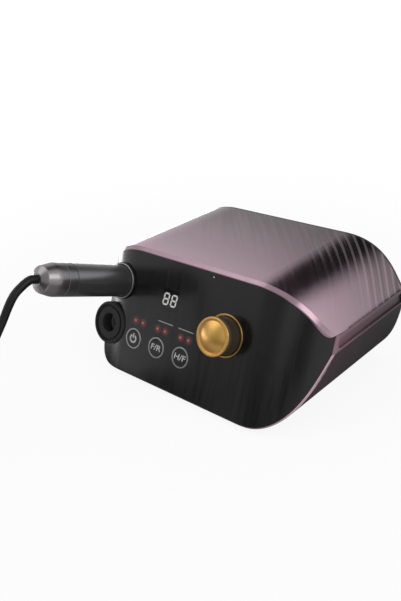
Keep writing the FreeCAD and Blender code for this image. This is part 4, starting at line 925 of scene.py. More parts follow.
class Repeater:
    """Geometry Nodes tree that lays out copies of a small shape."""

    def __init__(self, layout: Layout) -> None:
        """Build the tree for a layout.

        Args:
            layout: Ring about Z, with each copy turned outwards, or row along a step.
        """
        self.group = bpy.data.node_groups.new(f"copies_in_a_{layout.value}", "GeometryNodeTree")
        sockets = self.group.interface
        for name, kind in {"Shape": "Object", "Finish": "Material", "Count": "Int", "Radius": "Float",
                           "Step": "Vector"}.items():
            sockets.new_socket(name, in_out="INPUT", socket_type="NodeSocket" + kind)
        sockets.new_socket("Geometry", in_out="OUTPUT", socket_type="NodeSocketGeometry")
        tree = NodeGraph(self.group)
        given = tree.add(Kind.GIVEN).node.outputs
        if layout is Layout.RING:
            spots = tree.add(Kind.CIRCLE, given["Count"], given["Radius"])
            share = tree.add(Kind.DIVIDE, tree.add(Kind.NUMBER), given["Count"])
            turn = tree.add(Kind.VECTOR, Z=tree.add(Kind.MULTIPLY, share, TURN))
        else:
            spots = tree.add(Kind.LINE, given["Count"], Offset=given["Step"])
            turn = tree.add(Kind.VECTOR)
        shape = tree.add(Kind.SHAPE, given["Shape"])
        copies = tree.add(Kind.COPIES, Points=spots, Instance=shape, Rotation=turn)
        tree.add(Kind.RESULT, tree.add(Kind.DRESSED, tree.add(Kind.REAL, copies), Material=given["Finish"]))

    def make(self, name: str, shape: BMesh, place: Matrix, material: Material, count: int,
             radius: float, step: Sequence[float]) -> Object:
        """Lay out copies of a shape as one plain mesh.

        Args:
            name: Name for the piece.
            shape: The shape to copy, in millimetres, which is freed.
            place: Matrix from the drawing to the frame.
            material: The copies' finish.
            count: How many copies.
            radius: The ring's radius, in millimetres.
            step: Step from one copy to the next in a row, in millimetres.

        Returns:
            The piece, at the origin, with no modifier left.
        """
        template = finish_mesh(shape, name + "_shape", Matrix())
        holder = bpy.data.objects.new(name + "_holder", bpy.data.meshes.new(name + "_holder"))
        modifier = holder.modifiers.new("copies", "NODES")
        modifier.node_group = self.group
        values = {"Shape": template, "Finish": material, "Count": count, "Radius": radius, "Step": step}
        for item in self.group.interface.items_tree:
            if item.in_out == "INPUT":
                modifier[item.identifier] = values[item.name]
        mesh = take_mesh(holder)
        mesh.name = name
        mesh.transform(place)
        bpy.data.objects.remove(template)
        return show_mesh(mesh, name)


# Camera and studio


@dataclass(frozen=True)
class StudioCamera:
    """The photograph's camera, for a picture 401 pixels wide and 601 high."""

    place: tuple[float, float, float] = (300.38, -357.20, 276.57)
    azimuth: float = 43.105
    elevation: float = 25.933
    roll: float = -3.449
    focal_pixels: float = 700.92
    picture_height: float = 601.0
    sensor_mm: float = 36.0
    nearest: float = 0.01

    def make(self) -> None:
        """Create the camera and make it the scene's own."""
        data = bpy.data.cameras.new("Studio camera")
        data.sensor_width = self.sensor_mm
        data.lens = self.focal_pixels / self.picture_height * self.sensor_mm
        data.clip_start = self.nearest
        around, above, lean = (math.radians(angle) for angle in (self.azimuth, self.elevation, self.roll))
        flat = math.cos(above)
        back = Vector((math.sin(around) * flat, -math.cos(around) * flat, math.sin(above)))
        level = Vector((math.cos(around), math.sin(around), 0))
        rise = back.cross(level)
        right = level * math.cos(lean) + rise * math.sin(lean)
        up = rise * math.cos(lean) - level * math.sin(lean)
        camera = bpy.data.objects.new("Studio camera", data)
        turn = Matrix((right, up, back)).transposed().to_4x4()
        camera.matrix_world = Matrix.Translation(Vector(self.place) * MM) @ turn
        bpy.context.scene.collection.objects.link(camera)
        bpy.context.scene.camera = camera
        log.info("camera lens %.2f mm", data.lens)


@dataclass(frozen=True)
class Studio:
    """White table, soft even room light and two softboxes.

    Lengths are in metres, bearings in degrees from the machine's rear, and heights in a mirror run from
    nought at the table to one overhead. Each softbox has its name, place, side and power.
    """

    room: float = 0.62
    ceiling: float = 0.8
    ceiling_from: tuple[float, float] = (0.84, 0.98)
    walls: tuple[tuple[float, float], ...] = (
        (-180, 0.45), (-160, 0.5), (-138, 0.8), (-110, 0.95), (-70, 0.85), (-50, 0.78), (-35, 0.68), (0, 0.8),
        (60, 0.95), (110, 0.8), (130, 0.6), (155, 1.0), (180, 0.45),
    )
    low_walls: tuple[tuple[float, float], ...] = (
        (-180, 0.06), (-156, 0.22), (-147, 0.45), (-139, 0.9), (-126, 1.0), (100, 1.0), (124, 0.35),
        (145, 0.12), (180, 0.06),
    )
    low_reach: tuple[float, float] = (0.13, 0.05)
    card_left: tuple[float, float] = (-39.0, -26.0)
    card_right: tuple[float, float] = (36.0, 2.0)
    card_foot: tuple[float, float] = (0.28, 0.46)
    floor_size: float = 6.0
    footprint: tuple[float, float] = (0.1, 0.08)
    # Painted shadow and painted light on the table, seen only in a mirror.
    floor_painted_shadow_levels: tuple[float, float] = (0.1, 0.8)
    floor_painted_shadow_reach: float = 0.14
    floor_painted_wall_shade: tuple[float, float] = (0.15, 0.4)
    painted_bounce_span: tuple[float, float] = (-0.28, -0.38)
    painted_bounce_reach: tuple[float, float] = (0.7, 0.45)
    painted_bounce_light: float = 5.0
    floor_colour: str = "#f6f6f6"
    seen_white: float = 0.9
    seen_reach: tuple[float, float] = (0.1, 0.45)
    aim: tuple[float, float, float] = (0.0, 0.0, 0.04)
    softboxes: tuple[tuple[str, tuple[float, float, float], float, float], ...] = (
        ("Key softbox", (-0.9, -0.75, 1.25), 1.0, 3.5), ("Side softbox", (1.3, 0.2, 0.9), 0.9, 5.0),
    )

    def make(self) -> None:
        """Build the room, the table and the lamps."""
        bpy.context.scene.view_settings.view_transform = "Standard"
        self.make_room()
        self.make_floor()
        for softbox in self.softboxes:
            self.make_softbox(*softbox)

    def seen(self, tree: NodeGraph) -> NodeSocket:
        """One for rays from the camera, a mirror or clear glass, and nought for light on the object."""
        mirrored = tree.add(Kind.LARGER, tree.add(Kind.CAMERA_RAY), tree.add(Kind.MIRROR_RAY))
        return tree.add(Kind.LARGER, mirrored, tree.add(Kind.GLASS_RAY))

    def make_room(self) -> None:
        """White room: plain white where it is seen, dimmer as light, and with dark flags in a mirror."""
        world = bpy.data.worlds.new("White room")
        world.use_nodes = True
        bpy.context.scene.world = world
        tree = NodeGraph(world.node_tree)
        lit = tree.add(Kind.SMOOTH, self.seen(tree), 0, 1, self.room, 1.0)
        strength = tree.add(Kind.MIX, tree.add(Kind.MIRROR_RAY), lit, self.mirrored_room(tree))
        tree.add(Kind.WORLD, tree.add(Kind.ROOM, "#ffffff", strength))

    def mirrored_room(self, tree: NodeGraph) -> NodeSocket:
        """Brightness of the room in a mirror: pale walls, and one black card that hangs behind the table.

        Args:
            tree: The room's nodes.

        Returns:
            The brightness's socket.
        """
        way = tree.add(Kind.DIRECTION)
        height = tree.add(Kind.Z, way)
        bearing = self.compass(tree, way)
        high = self.ring(tree, bearing, self.walls)
        low = tree.add(Kind.MULTIPLY, high, self.ring(tree, bearing, self.low_walls))
        walls = tree.add(Kind.MIX, tree.add(Kind.SMOOTH, height, *self.low_reach), high, low)
        degrees = tree.add(Kind.MULTIPLY, bearing, 360.0)
        card = tree.add(Kind.SMOOTH, height, *self.card_foot)
        for start, end in (self.card_left, self.card_right):
            card = tree.add(Kind.MULTIPLY, card, tree.add(Kind.SMOOTH, degrees, 180 + start, 180 + end))
        walls = tree.add(Kind.MULTIPLY, walls, tree.add(Kind.SUBTRACT, 1.0, card))
        return tree.add(Kind.MIX, tree.add(Kind.SMOOTH, height, *self.ceiling_from), walls, self.ceiling)

    def compass(self, tree: NodeGraph, way: NodeSocket) -> NodeSocket:
        """Bearing of a direction, from nought to one, with the machine's rear in the middle."""
        angle = tree.add(Kind.ANGLE, tree.add(Kind.X, way), tree.add(Kind.Y, way))
        return tree.add(Kind.ADD, tree.add(Kind.DIVIDE, angle, TURN), 0.5)

    def ring(self, tree: NodeGraph, bearing: NodeSocket, stops: Sequence[tuple[float, float]]) -> NodeSocket:
        """Brightness that changes smoothly round the room.

        Args:
            tree: The nodes of the room or the table.
            bearing: Bearing from nought to one.
            stops: Bearing in degrees and brightness there.

        Returns:
            The brightness's socket.
        """
        output = tree.add(Kind.RAMP, bearing)
        made = output.node.color_ramp.elements
        made.remove(made[0])
        for number, (degrees, bright) in enumerate(stops):
            place = (degrees + 180) / 360
            stop = made.new(place) if number else made[0]
            stop.position = place
            stop.color = (bright, bright, bright, 1)
        output.node.color_ramp.interpolation = "EASE"
        return output

    def away(self, tree: NodeGraph, spot: NodeSocket) -> NodeSocket:
        """Distance of a place on the table from the machine's footprint.

        Args:
            tree: The table's nodes.
            spot: The place in metres.

        Returns:
            The distance's socket, in metres.
        """
        past = (tree.add(Kind.SUBTRACT, tree.add(Kind.ABSOLUTE, tree.add(axis, spot)), half)
                for axis, half in zip((Kind.X, Kind.Y), self.footprint))
        return tree.length(*(tree.add(Kind.LARGER, side, 0.0) for side in past))

    def mirrored_floor(self, tree: NodeGraph, spot: NodeSocket) -> NodeSocket:
        """Brightness of the table in a mirror.

        It carries a painted shadow beside the machine, the walls' painted shade further out, and a painted
        pool of light at its left that stands in for a reflector card.

        Args:
            tree: The table's nodes.
            spot: The place in metres.

        Returns:
            The brightness's socket.
        """
        away = self.away(tree, spot)
        # Painted shadow near the machine, and a bright patch of painted light at the left.
        near = tree.add(Kind.SMOOTH, away, 0.0, self.floor_painted_shadow_reach, *self.floor_painted_shadow_levels)
        card = tree.add(Kind.MULTIPLY, tree.add(Kind.SMOOTH, tree.add(Kind.X, spot), *self.painted_bounce_span),
                        tree.add(Kind.SMOOTH, away, *self.painted_bounce_reach))
        lit = tree.add(Kind.ADD, near, tree.add(Kind.MULTIPLY, card, self.painted_bounce_light))
        ring = self.ring(tree, self.compass(tree, spot), self.low_walls)
        far = tree.add(Kind.MIX, tree.add(Kind.SMOOTH, away, *self.floor_painted_wall_shade), 1.0, ring)
        return tree.add(Kind.MULTIPLY, lit, far)

    def make_floor(self) -> None:
        """Pale table that stays white where it is seen, and keeps the machine's shadow."""
        shape = bmesh.new()
        bmesh.ops.create_grid(shape, x_segments=1, y_segments=1, size=self.floor_size / 2)
        floor = finish_mesh(shape, "studio_floor", Matrix())
        material = bpy.data.materials.new("White table")
        material.use_nodes = True
        tree = NodeGraph(material.node_tree)
        spot = tree.add(Kind.PLACE)
        # In a mirror the table shows painted shadow and painted light.
        bright = tree.add(Kind.MIX, tree.add(Kind.MIRROR_RAY), 1.0, self.mirrored_floor(tree, spot))
        far = tree.add(Kind.SMOOTH, self.away(tree, spot), *self.seen_reach, self.seen_white, 1.0)
        share = tree.add(Kind.MULTIPLY, self.seen(tree), far)
        tree.add(Kind.SURFACE, tree.add(Kind.MIX_SHADERS, share, tree.add(Kind.MATT, self.floor_colour),
                                        tree.add(Kind.GLOW, "#ffffff", bright)))
        dress(floor, material)

    def make_softbox(self, name: str, place: Sequence[float], size: float, power: float) -> None:
        """Square softbox that faces the machine.

        Args:
            name: Name for the lamp.
            place: Its middle, in metres.
            size: Its side, in metres.
            power: Its power, in watts.
        """
        data = bpy.data.lights.new(name, "AREA")
        data.shape = "SQUARE"
        data.size = size
        data.energy = power
        lamp = bpy.data.objects.new(name, data)
        lamp.location = place
        towards = Vector(self.aim) - Vector(place)
        lamp.rotation_euler = towards.to_track_quat("-Z", "Y").to_euler()
        bpy.context.scene.collection.objects.link(lamp)


# The object's parts


@dataclass
class Part:
    """A sub-assembly: it dresses its nodes of the frame, then draws the pieces that need finer edges."""

    nodes: dict[str, Object]
    finishes: dict[str, Material]
    rings: Repeater
    rows: Repeater
    dressing: ClassVar[dict[str, str]] = {}

    def make(self) -> None:
        """Dress the nodes and draw the rest."""
        for node, finish in self.dressing.items():
            dress(self.nodes[node], self.finishes[finish])
        self.draw()

    def draw(self) -> None:
        """Draw the pieces that this part adds."""

    def fit(self, piece: Object, finish: str, body: Body, *nodes: str) -> None:
        """Dress a piece, let it ride on its body, and let it stand for the nodes that it redraws.

        Args:
            piece: The new piece.
            finish: Its finish.
            body: The body that it rides on.
            nodes: Names of the frame's nodes that it replaces.
        """
        dress(piece, self.finishes[finish])
        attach(piece, body.value)
        if nodes:
            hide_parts(*nodes)
        log.info("%s rides on %s", piece.name, body.value)

    def row(self, name: str, shape: BMesh, place: Matrix, finish: str, count: int, step: Sequence[float],
            *nodes: str) -> None:
        """Fit copies of a shape in a row to the housing, as one piece that can stand for nodes."""
        piece = self.rows.make(name, shape, place, self.finishes[finish], count, 0.0, step)
        self.fit(piece, finish, Body.HOUSING, *nodes)

    def knurl(self, name: str, shape: BMesh, place: Matrix, finish: str, count: int, radius: float,
              body: Body) -> None:
        """Fit a ring of small teeth, drawn as one tooth, to a turning body as one piece."""
        piece = self.rings.make(name, shape, place, self.finishes[finish], count, radius, (0, 0, 0))
        self.fit(piece, finish, body)


@dataclass
class HandpieceCord(Part):
    """Limp black cord: out of the handpiece's tail, down to the table, and into a put-away coil.

    The route is the solid's own, but for its first points, and the jacket is a little thicker near the tail.
    The coil spirals in along the table, climbs a layer in half a turn and spirals out again to the plug.
    """

    radius: float = 2.5
    floor_gap: float = 0.05
    tail_out: float = 78.4
    first_step: float = 3.8
    coil_middle: tuple[float, float] = (-105.0, -207.0)
    coil_radius: float = 34.0
    coil_pitch: float = 5.5
    coil_rise: float = 5.5
    coil_dip: float = 1.5
    layer_turns: float = 2.75
    climb_turns: float = 0.5
    lead_steps: tuple[float, ...] = (8.4, 16.8, 24.0)
    steps: int = 16
    length: float = 1.19
    lowest_hang: float = 12.0
    neck: float = 0.22
    neck_points: int = 14
    tube_steps: int = 5
    curve_order: int = 3
    curve_steps: int = 6
    route: tuple[tuple[float, float, float], ...] = (
        (-67.4, -127.6, 94.2), (-67.4, -133.0, 92.3), (-67.4, -139.6, 88.9), (-67.3, -145.7, 82.1),
        (-67.1, -151.2, 74.6), (-66.8, -158.7, 66.1), (-66.4, -166.0, 56.2), (-66.0, -171.9, 44.3),
        (-65.6, -177.2, 31.0), (-65.0, -182.8, 18.4), (-64.4, -190.4, 9.0), (-63.8, -200.6, 4.1),
        (-63.4, -211.6, 2.55), (-65.0, -223.6, 2.55), (-71.2, -233.6, 2.55), (-80.8, -239.6, 2.55),
        (-91.0, -241.0, 2.55), (-100.0, -241.0, 2.55),
    )

    def start(self) -> Vector:
        """The middle of the cord where it leaves the tail."""
        return FRONT.spot(*HAND_AXIS, self.tail_out)

    def coil_points(self) -> list[Vector]:
        """Control points of the coil, a little outside so that the curve runs on the solid's circle.

        Returns:
            The points in millimetres, from the coil's outside to the plug's side.
        """
        inner = self.coil_radius - self.layer_turns * self.coil_pitch
        turns = 2 * self.layer_turns + self.climb_turns
        points = []
        for number in range(int(turns * self.steps) + 1):
            done = number / self.steps
            climbed = min(max((done - self.layer_turns) / self.climb_turns, 0.0), 1.0)
            rise = self.coil_rise * (1 - math.cos(math.pi * climbed)) / 2
            if done < self.layer_turns:
                reach = self.coil_radius - done * self.coil_pitch
            elif climbed < 1:
                reach = inner - self.coil_dip * math.sin(math.pi * climbed)
            else:
                reach = inner + (done - self.layer_turns - self.climb_turns) * self.coil_pitch
            angle = -QUARTER - TURN * done
            points.append(Vector((self.coil_middle[0] + reach * math.cos(angle),
                                  self.coil_middle[1] + reach * math.sin(angle),
                                  self.radius + self.floor_gap + rise)))
        return points

    def control_points(self) -> list[Vector]:
        """Every control point, from the tail to the plug.

        Returns:
            The points in millimetres.
        """
        start = self.start()
        coil = self.coil_points()
        lead = [coil[-1] - Vector((step, 0, 0)) for step in self.lead_steps]
        hang = [Vector(spot) for spot in self.route]
        return [start, start + FRONT.out * self.first_step, *hang, *coil, *lead]

    def line(self, name: str, thick: float) -> Mesh:
        """The cord's smooth curve as a mesh.

        Args:
            name: Name for the mesh.
            thick: The tube's radius in millimetres, or nought for the bare line.

        Returns:
            The mesh, in metres.
        """
        curve = bpy.data.curves.new(name, "CURVE")
        curve.dimensions = "3D"
        curve.bevel_depth = thick * MM
        curve.bevel_resolution = self.tube_steps
        curve.use_fill_caps = True
        points = self.control_points()
        spline = curve.splines.new("NURBS")
        spline.points.add(len(points) - 1)
        for number, (point, place) in enumerate(zip(spline.points, points)):
            point.co = (*(place * MM), 1.0)
            point.radius = 1 + self.neck * max(0.0, 1 - number / self.neck_points)
        spline.order_u = self.curve_order
        spline.use_endpoint_u = True
        spline.resolution_u = self.curve_steps
        return take_mesh(bpy.data.objects.new(name, curve))

    def draw(self) -> None:
        path = [tuple(vertex.co) for vertex in self.line("cord_line", 0.0).vertices]
        cord = show_mesh(self.line("cord_tube", self.radius), "cord")
        dress(cord, self.finishes["jacket"])
        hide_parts("handpiece_cord", "cord_coil")
        start = self.start() * MM
        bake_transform(cord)
        log.info("cord of %d control points", len(self.control_points()))


@dataclass
class Housing(Part):
    """Formed shells, side rails, rear cover, feet and case screws."""

    dressing: ClassVar[dict[str, str]] = {
        "upper_shell": "skin", "lower_shell": "tray", "side_rail_left": "rail", "side_rail_right": "rail",
        "rear_cover": "rear", "rubber_feet": "rubber", "case_screws": "zinc",
    }
    screw_spread: tuple[float, float] = (94.0, 66.0)
    screw_shift: float = 8.0
    screw_radius: float = 2.75
    screw_top: float = 3.15
    screw_thick: float = 0.12
    screw_round: float = 0.05
    slot_reach: float = 1.9
    slot_width: float = 0.8
    slot_steps: int = 4

    def draw(self) -> None:
        """Cross-recessed heads under the tray, two rows of two."""
        wide, deep = self.screw_spread
        for side, word in ((-1, "left"), (1, "right")):
            place = (side * wide / 2, self.screw_shift - deep / 2, self.screw_top - self.screw_thick)
            self.row(f"screw_heads_{word}", self.screw_head(), stand(place), "zinc", 2, (0, deep, 0))

    def screw_head(self) -> BMesh:
        """Thin head with a raised rim and a cross let into it, facing down.

        Returns:
            The head, in millimetres.
        """
        reach, outer, thick = self.slot_reach, self.screw_radius, self.screw_thick
        rim = rounded([(reach, 0.0), (outer, 0.0, self.screw_round), (outer, thick), (reach, thick)], 2)
        shapes = [(turned(rim, 24), Matrix())]
        half = self.slot_width / 2
        start, end = math.asin(half / reach), QUARTER - math.asin(half / reach)
        angles = [start + (end - start) * step / self.slot_steps for step in range(self.slot_steps + 1)]
        outline = [(half, half), *((reach * math.cos(angle), reach * math.sin(angle)) for angle in angles)]
        for corner in range(4):
            shapes.append((plate(outline, thick), Matrix.Rotation(corner * QUARTER, 4, "Z")))
        return joined(shapes)


@dataclass
class FrontFace(Part):
    """Gloss front with its lamps, printed lines, keys and key marks."""

    dressing: ClassVar[dict[str, str]] = {
        "front_panel": "front", "power_key": "cap_black", "direction_key": "cap_black",
        "pedal_key": "cap_black", "indicator_lamps": "lamp", "key_switches": "black",
        "control_board": "board", "board_spacers": "brass",
    }
    key_across: float = -46.0
    key_up: float = 27.8
    key_pitch: float = 23.4
    key_face: float = 0.52
    ring_size: tuple[float, float, float] = (6.5, 7.6, 0.35)
    ring_rounds: tuple[float, float] = (0.25, 0.1)
    mark_size: float = 6.0
    mark_stretch: float = 1.22
    mark_lean: float = 0.12
    mark_bold: float = 0.09
    sign_size: tuple[float, float] = (3.4, 2.1)
    sign_gap: float = math.radians(32)
    sign_steps: int = 28
    sign_bar: tuple[float, float, float, float, float] = (-0.6, 0.5, 0.6, 4.0, 0.2)
    lamp_radius: float = 1.45
    lamp_height: float = 0.55
    lamp_steps: int = 6
    glow_radius: float = 3.65
    line_size: tuple[float, float] = (14.2, 0.75)
    line_round: float = 0.3
    line_place: tuple[float, float] = (-17.9, 47.4)
    line_pitch: float = 19.4
    dot_place: tuple[float, float] = (16.4, 89.0)
    dot_radius: float = 0.55

    def draw(self) -> None:
        """Silver rings with a soft outer edge round the keys, the lamps, the lines and the marks."""
        ring = flat_ring(self.ring_size, self.ring_rounds, 4, 64)
        place = FRONT.place(self.key_across, self.key_up)
        self.row("key_rings_turned", ring, place, "ring_silver", 3, (self.key_pitch, 0, 0), "key_rings")
        self.make_lamps()
        self.make_lines()
        self.make_marks()

    def make_lamps(self) -> None:
        """Domed red lenses in pairs, one pair above each key."""
        radius, height = self.lamp_radius, self.lamp_height
        angles = [QUARTER * step / self.lamp_steps for step in range(self.lamp_steps)]
        dome = [*((radius * math.cos(angle), height * math.sin(angle)) for angle in angles), (0.0, height),
                (0.0, 0.0), (self.glow_radius, 0.0), (self.glow_radius, PRINT_GAP), (radius, PRINT_GAP)]
        shift = LampGlow.apart / 2
        pair = joined((turned(dome, 24), Matrix.Translation((side * shift, 0, 0))) for side in (-1, 1))
        place = FRONT.place(LampGlow.across, LampGlow.up, PRINT_GAP)
        self.row("lamp_domes", pair, place, "lamp", 3, (LampGlow.pitch, 0, 0))

    def make_lines(self) -> None:
        """Printed lines above the two right-hand pairs of lamps, and the small dot near the top."""
        half, edge = (size / 2 for size in self.line_size)
        line = bar(-half, -edge, half, edge, self.line_round)
        place = FRONT.place(*self.line_place, PRINT_GAP)
        step = (self.line_pitch, 0, 0)
        self.row("printed_lines", plate(line, PRINT_THICK), place, "faint_print", 2, step)
        dot = turned([(self.dot_radius, 0), (self.dot_radius, PRINT_THICK), (0, PRINT_THICK), (0, 0)], 24)
        dot_piece = finish_mesh(dot, "printed_dot", FRONT.place(*self.dot_place, PRINT_GAP))
        self.fit(dot_piece, "print", Body.HOUSING)

    def make_marks(self) -> None:
        """Key marks: the standby sign, forward and reverse, hand and foot."""
        keys = (("power", Body.POWER_KEY, ""), ("direction", Body.DIRECTION_KEY, "F/R"),
                ("pedal", Body.PEDAL_KEY, "H/F"))
        for number, (name, body, words) in enumerate(keys):
            place = FRONT.place(self.key_across + number * self.key_pitch, self.key_up, self.key_face)
            draw = self.lettering if words else self.standby_sign
            self.fit(draw(name + "_mark", place, words), "print", body)

    def standby_sign(self, name: str, place: Matrix, words: str) -> Object:
        """Open ring with an upright bar in its gap.

        Args:
            name: Name for the piece.
            place: Matrix of the key's face.
            words: Not used, because this sign has no letters.

        Returns:
            The piece.
        """
        first, sweep = QUARTER + self.sign_gap, TURN - 2 * self.sign_gap
        angles = [first + sweep * step / self.sign_steps for step in range(self.sign_steps + 1)]
        ring = [(radius * math.cos(angle), radius * math.sin(angle))
                for radius, way in zip(self.sign_size, (angles, angles[::-1])) for angle in way]
        sign = joined((plate(outline, PRINT_THICK), Matrix()) for outline in (ring, bar(*self.sign_bar)))
        return finish_mesh(sign, name, place)

    def lettering(self, name: str, place: Matrix, words: str) -> Object:
        """Printed letters as a thin mesh.

        Args:
            name: Name for the piece.
            place: Matrix of the key's face.
            words: The letters.

        Returns:
            The piece.
        """
        curve = bpy.data.curves.new(name, "FONT")
        curve.body = words
        curve.size = self.mark_size
        curve.align_x = "CENTER"
        curve.align_y = "CENTER"
        curve.extrude = PRINT_THICK / 2
        curve.offset = self.mark_bold
        mesh = take_mesh(bpy.data.objects.new(name, curve))
        lean = Matrix()
        lean[0][0] = self.mark_stretch
        lean[0][1] = self.mark_lean
        mesh.transform(place @ Matrix.Translation((0, 0, PRINT_THICK / 2)) @ lean)
        return show_mesh(mesh, name)


@dataclass
class Display(Part):
    """Smoked window with two lit seven-segment digits that lean to the right."""

    dressing: ClassVar[dict[str, str]] = {"display_lens": "lens", "display_module": "white_body"}
    across: float = -17.9
    up: float = 59.7
    height: float = 9.1
    width: float = 5.5
    pitch: float = 7.3
    stroke: float = 1.15
    thick: float = 0.05
    gap: float = 0.12
    slant: float = math.radians(7)

    def segment(self, length: float) -> BMesh:
        """One lying segment with pointed ends, its middle at the origin.

        Args:
            length: Its length with the gaps at its ends, in millimetres.

        Returns:
            The segment.
        """
        half, edge = length / 2 - self.gap, self.stroke / 2
        return plate([(-half, 0), (-half + edge, -edge), (half - edge, -edge), (half, 0), (half - edge, edge),
                      (-half + edge, edge)], self.thick)

    def digit(self) -> BMesh:
        """All seven segments of one digit, its lower left corner at the origin.

        Returns:
            The digit, in millimetres.
        """
        inner = self.stroke / 2
        left, right = inner, self.width - inner
        low, middle, high = inner, self.height / 2, self.height - inner
        shapes = [(self.segment(right - left), Matrix.Translation(((left + right) / 2, level, 0)))
                  for level in (low, middle, high)]
        for side in (left, right):
            for bottom, top in ((low, middle), (middle, high)):
                place = Matrix.Translation((side, (bottom + top) / 2, 0)) @ Matrix.Rotation(QUARTER, 4, "Z")
                shapes.append((self.segment(top - bottom), place))
        return joined(shapes)

    def draw(self) -> None:
        """Light both digits."""
        lean = Matrix()
        lean[0][1] = math.tan(self.slant)
        left = self.across - (self.pitch + self.width) / 2 - self.height * math.tan(self.slant) / 2
        place = FRONT.place(left, self.up, PRINT_GAP) @ lean
        self.row("display_digits", self.digit(), place, "digit", 2, (self.pitch, 0, 0))


@dataclass
class SpeedKnob(Part):
    """Black knob with a domed gold cap, its knurled rim, and a gold ring on the front."""

    dressing: ClassVar[dict[str, str]] = {
        "knob_body": "knob_side", "control_shaft": "zinc", "speed_control": "zinc", "control_nut": "zinc",
    }
    cap_base: float = 11.6
    cap_radius: float = 13.2
    cap_back: tuple[float, float] = (11.9, 0.8)
    cap_sharp: float = 50.0
    rim: float = 2.4
    rim_width: float = 1.7
    groove: tuple[float, float] = (0.7, 0.8)
    dome: float = 2.1
    dome_foot: float = 0.7
    dome_inset: float = 1.2
    dome_steps: int = 14
    cap_rounds: tuple[float, float, float, float] = (0.4, 0.75, 0.5, 0.3)
    beads: int = 54
    bead_size: tuple[float, float, float] = (1.7, 0.95, 0.85)
    bead_lean: float = math.radians(35)
    bead_inset: float = 0.75
    bead_sink: float = 0.15
    bezel_radius: float = 14.8
    bezel_width: float = 1.75
    bezel_height: float = 1.2
    bezel_rounds: tuple[float, float] = (0.55, 0.55)

    def draw(self) -> None:
        """Redraw the cap with its knurl like a rope's strands, and the half-round ring on the front."""
        place = FRONT.place(*KNOB_AXIS, self.cap_base)
        cap = finish_mesh(self.cap(), "knob_cap_turned", place, self.cap_sharp)
        self.fit(cap, "gold", Body.KNOB, "knob_cap")
        place = FRONT.place(*KNOB_AXIS, self.cap_base + self.rim - self.bead_sink)
        tooth = bead(Matrix.Rotation(self.bead_lean, 4, "Z") @ Matrix.Diagonal((*self.bead_size, 1)))
        self.knurl("knob_cap_knurl", tooth, place, "gold", self.beads, self.cap_radius - self.bead_inset,
                   Body.KNOB)
        size = (self.bezel_radius - self.bezel_width, self.bezel_radius, self.bezel_height)
        bezel = flat_ring(size, self.bezel_rounds, 6, 128)
        bezel_piece = finish_mesh(bezel, "knob_bezel_turned", FRONT.place(*KNOB_AXIS))
        self.fit(bezel_piece, "gold_ring", Body.HOUSING, "knob_bezel")

    def cap(self) -> BMesh:
        """Turned cap: bevelled back, rolled rim, a groove, and a shallow dome inside it.

        Returns:
            The cap about Z, its back at nought.
        """
        inner = self.cap_radius - self.rim_width
        back, bevel = self.cap_back
        wide, deep = self.groove
        corners = ((self.cap_radius, bevel), (self.cap_radius, self.rim), (inner, self.rim),
                   (inner - wide, self.rim - deep))
        softened = ((*corner, radius) for corner, radius in zip(corners, self.cap_rounds))
        profile = rounded([(0.0, 0.0), (back, 0.0), *softened])
        reach, low, top = inner - self.dome_inset, self.rim - self.dome_foot, self.rim + self.dome
        rise = top - low
        bend = (reach * reach + rise * rise) / (2 * rise)
        for step in range(self.dome_steps):
            radius = reach * (1 - step / self.dome_steps)
            profile.append((radius, low + math.sqrt(bend * bend - radius * radius) - (bend - rise)))
        return turned([*profile, (0.0, top)], 128)


@dataclass
class HandpieceSocket(Part):
    """Round socket for the cord's plug, with its insert and contacts."""

    dressing: ClassVar[dict[str, str]] = {
        "socket_housing": "socket", "socket_insert": "insert", "socket_contacts": "brass",
    }


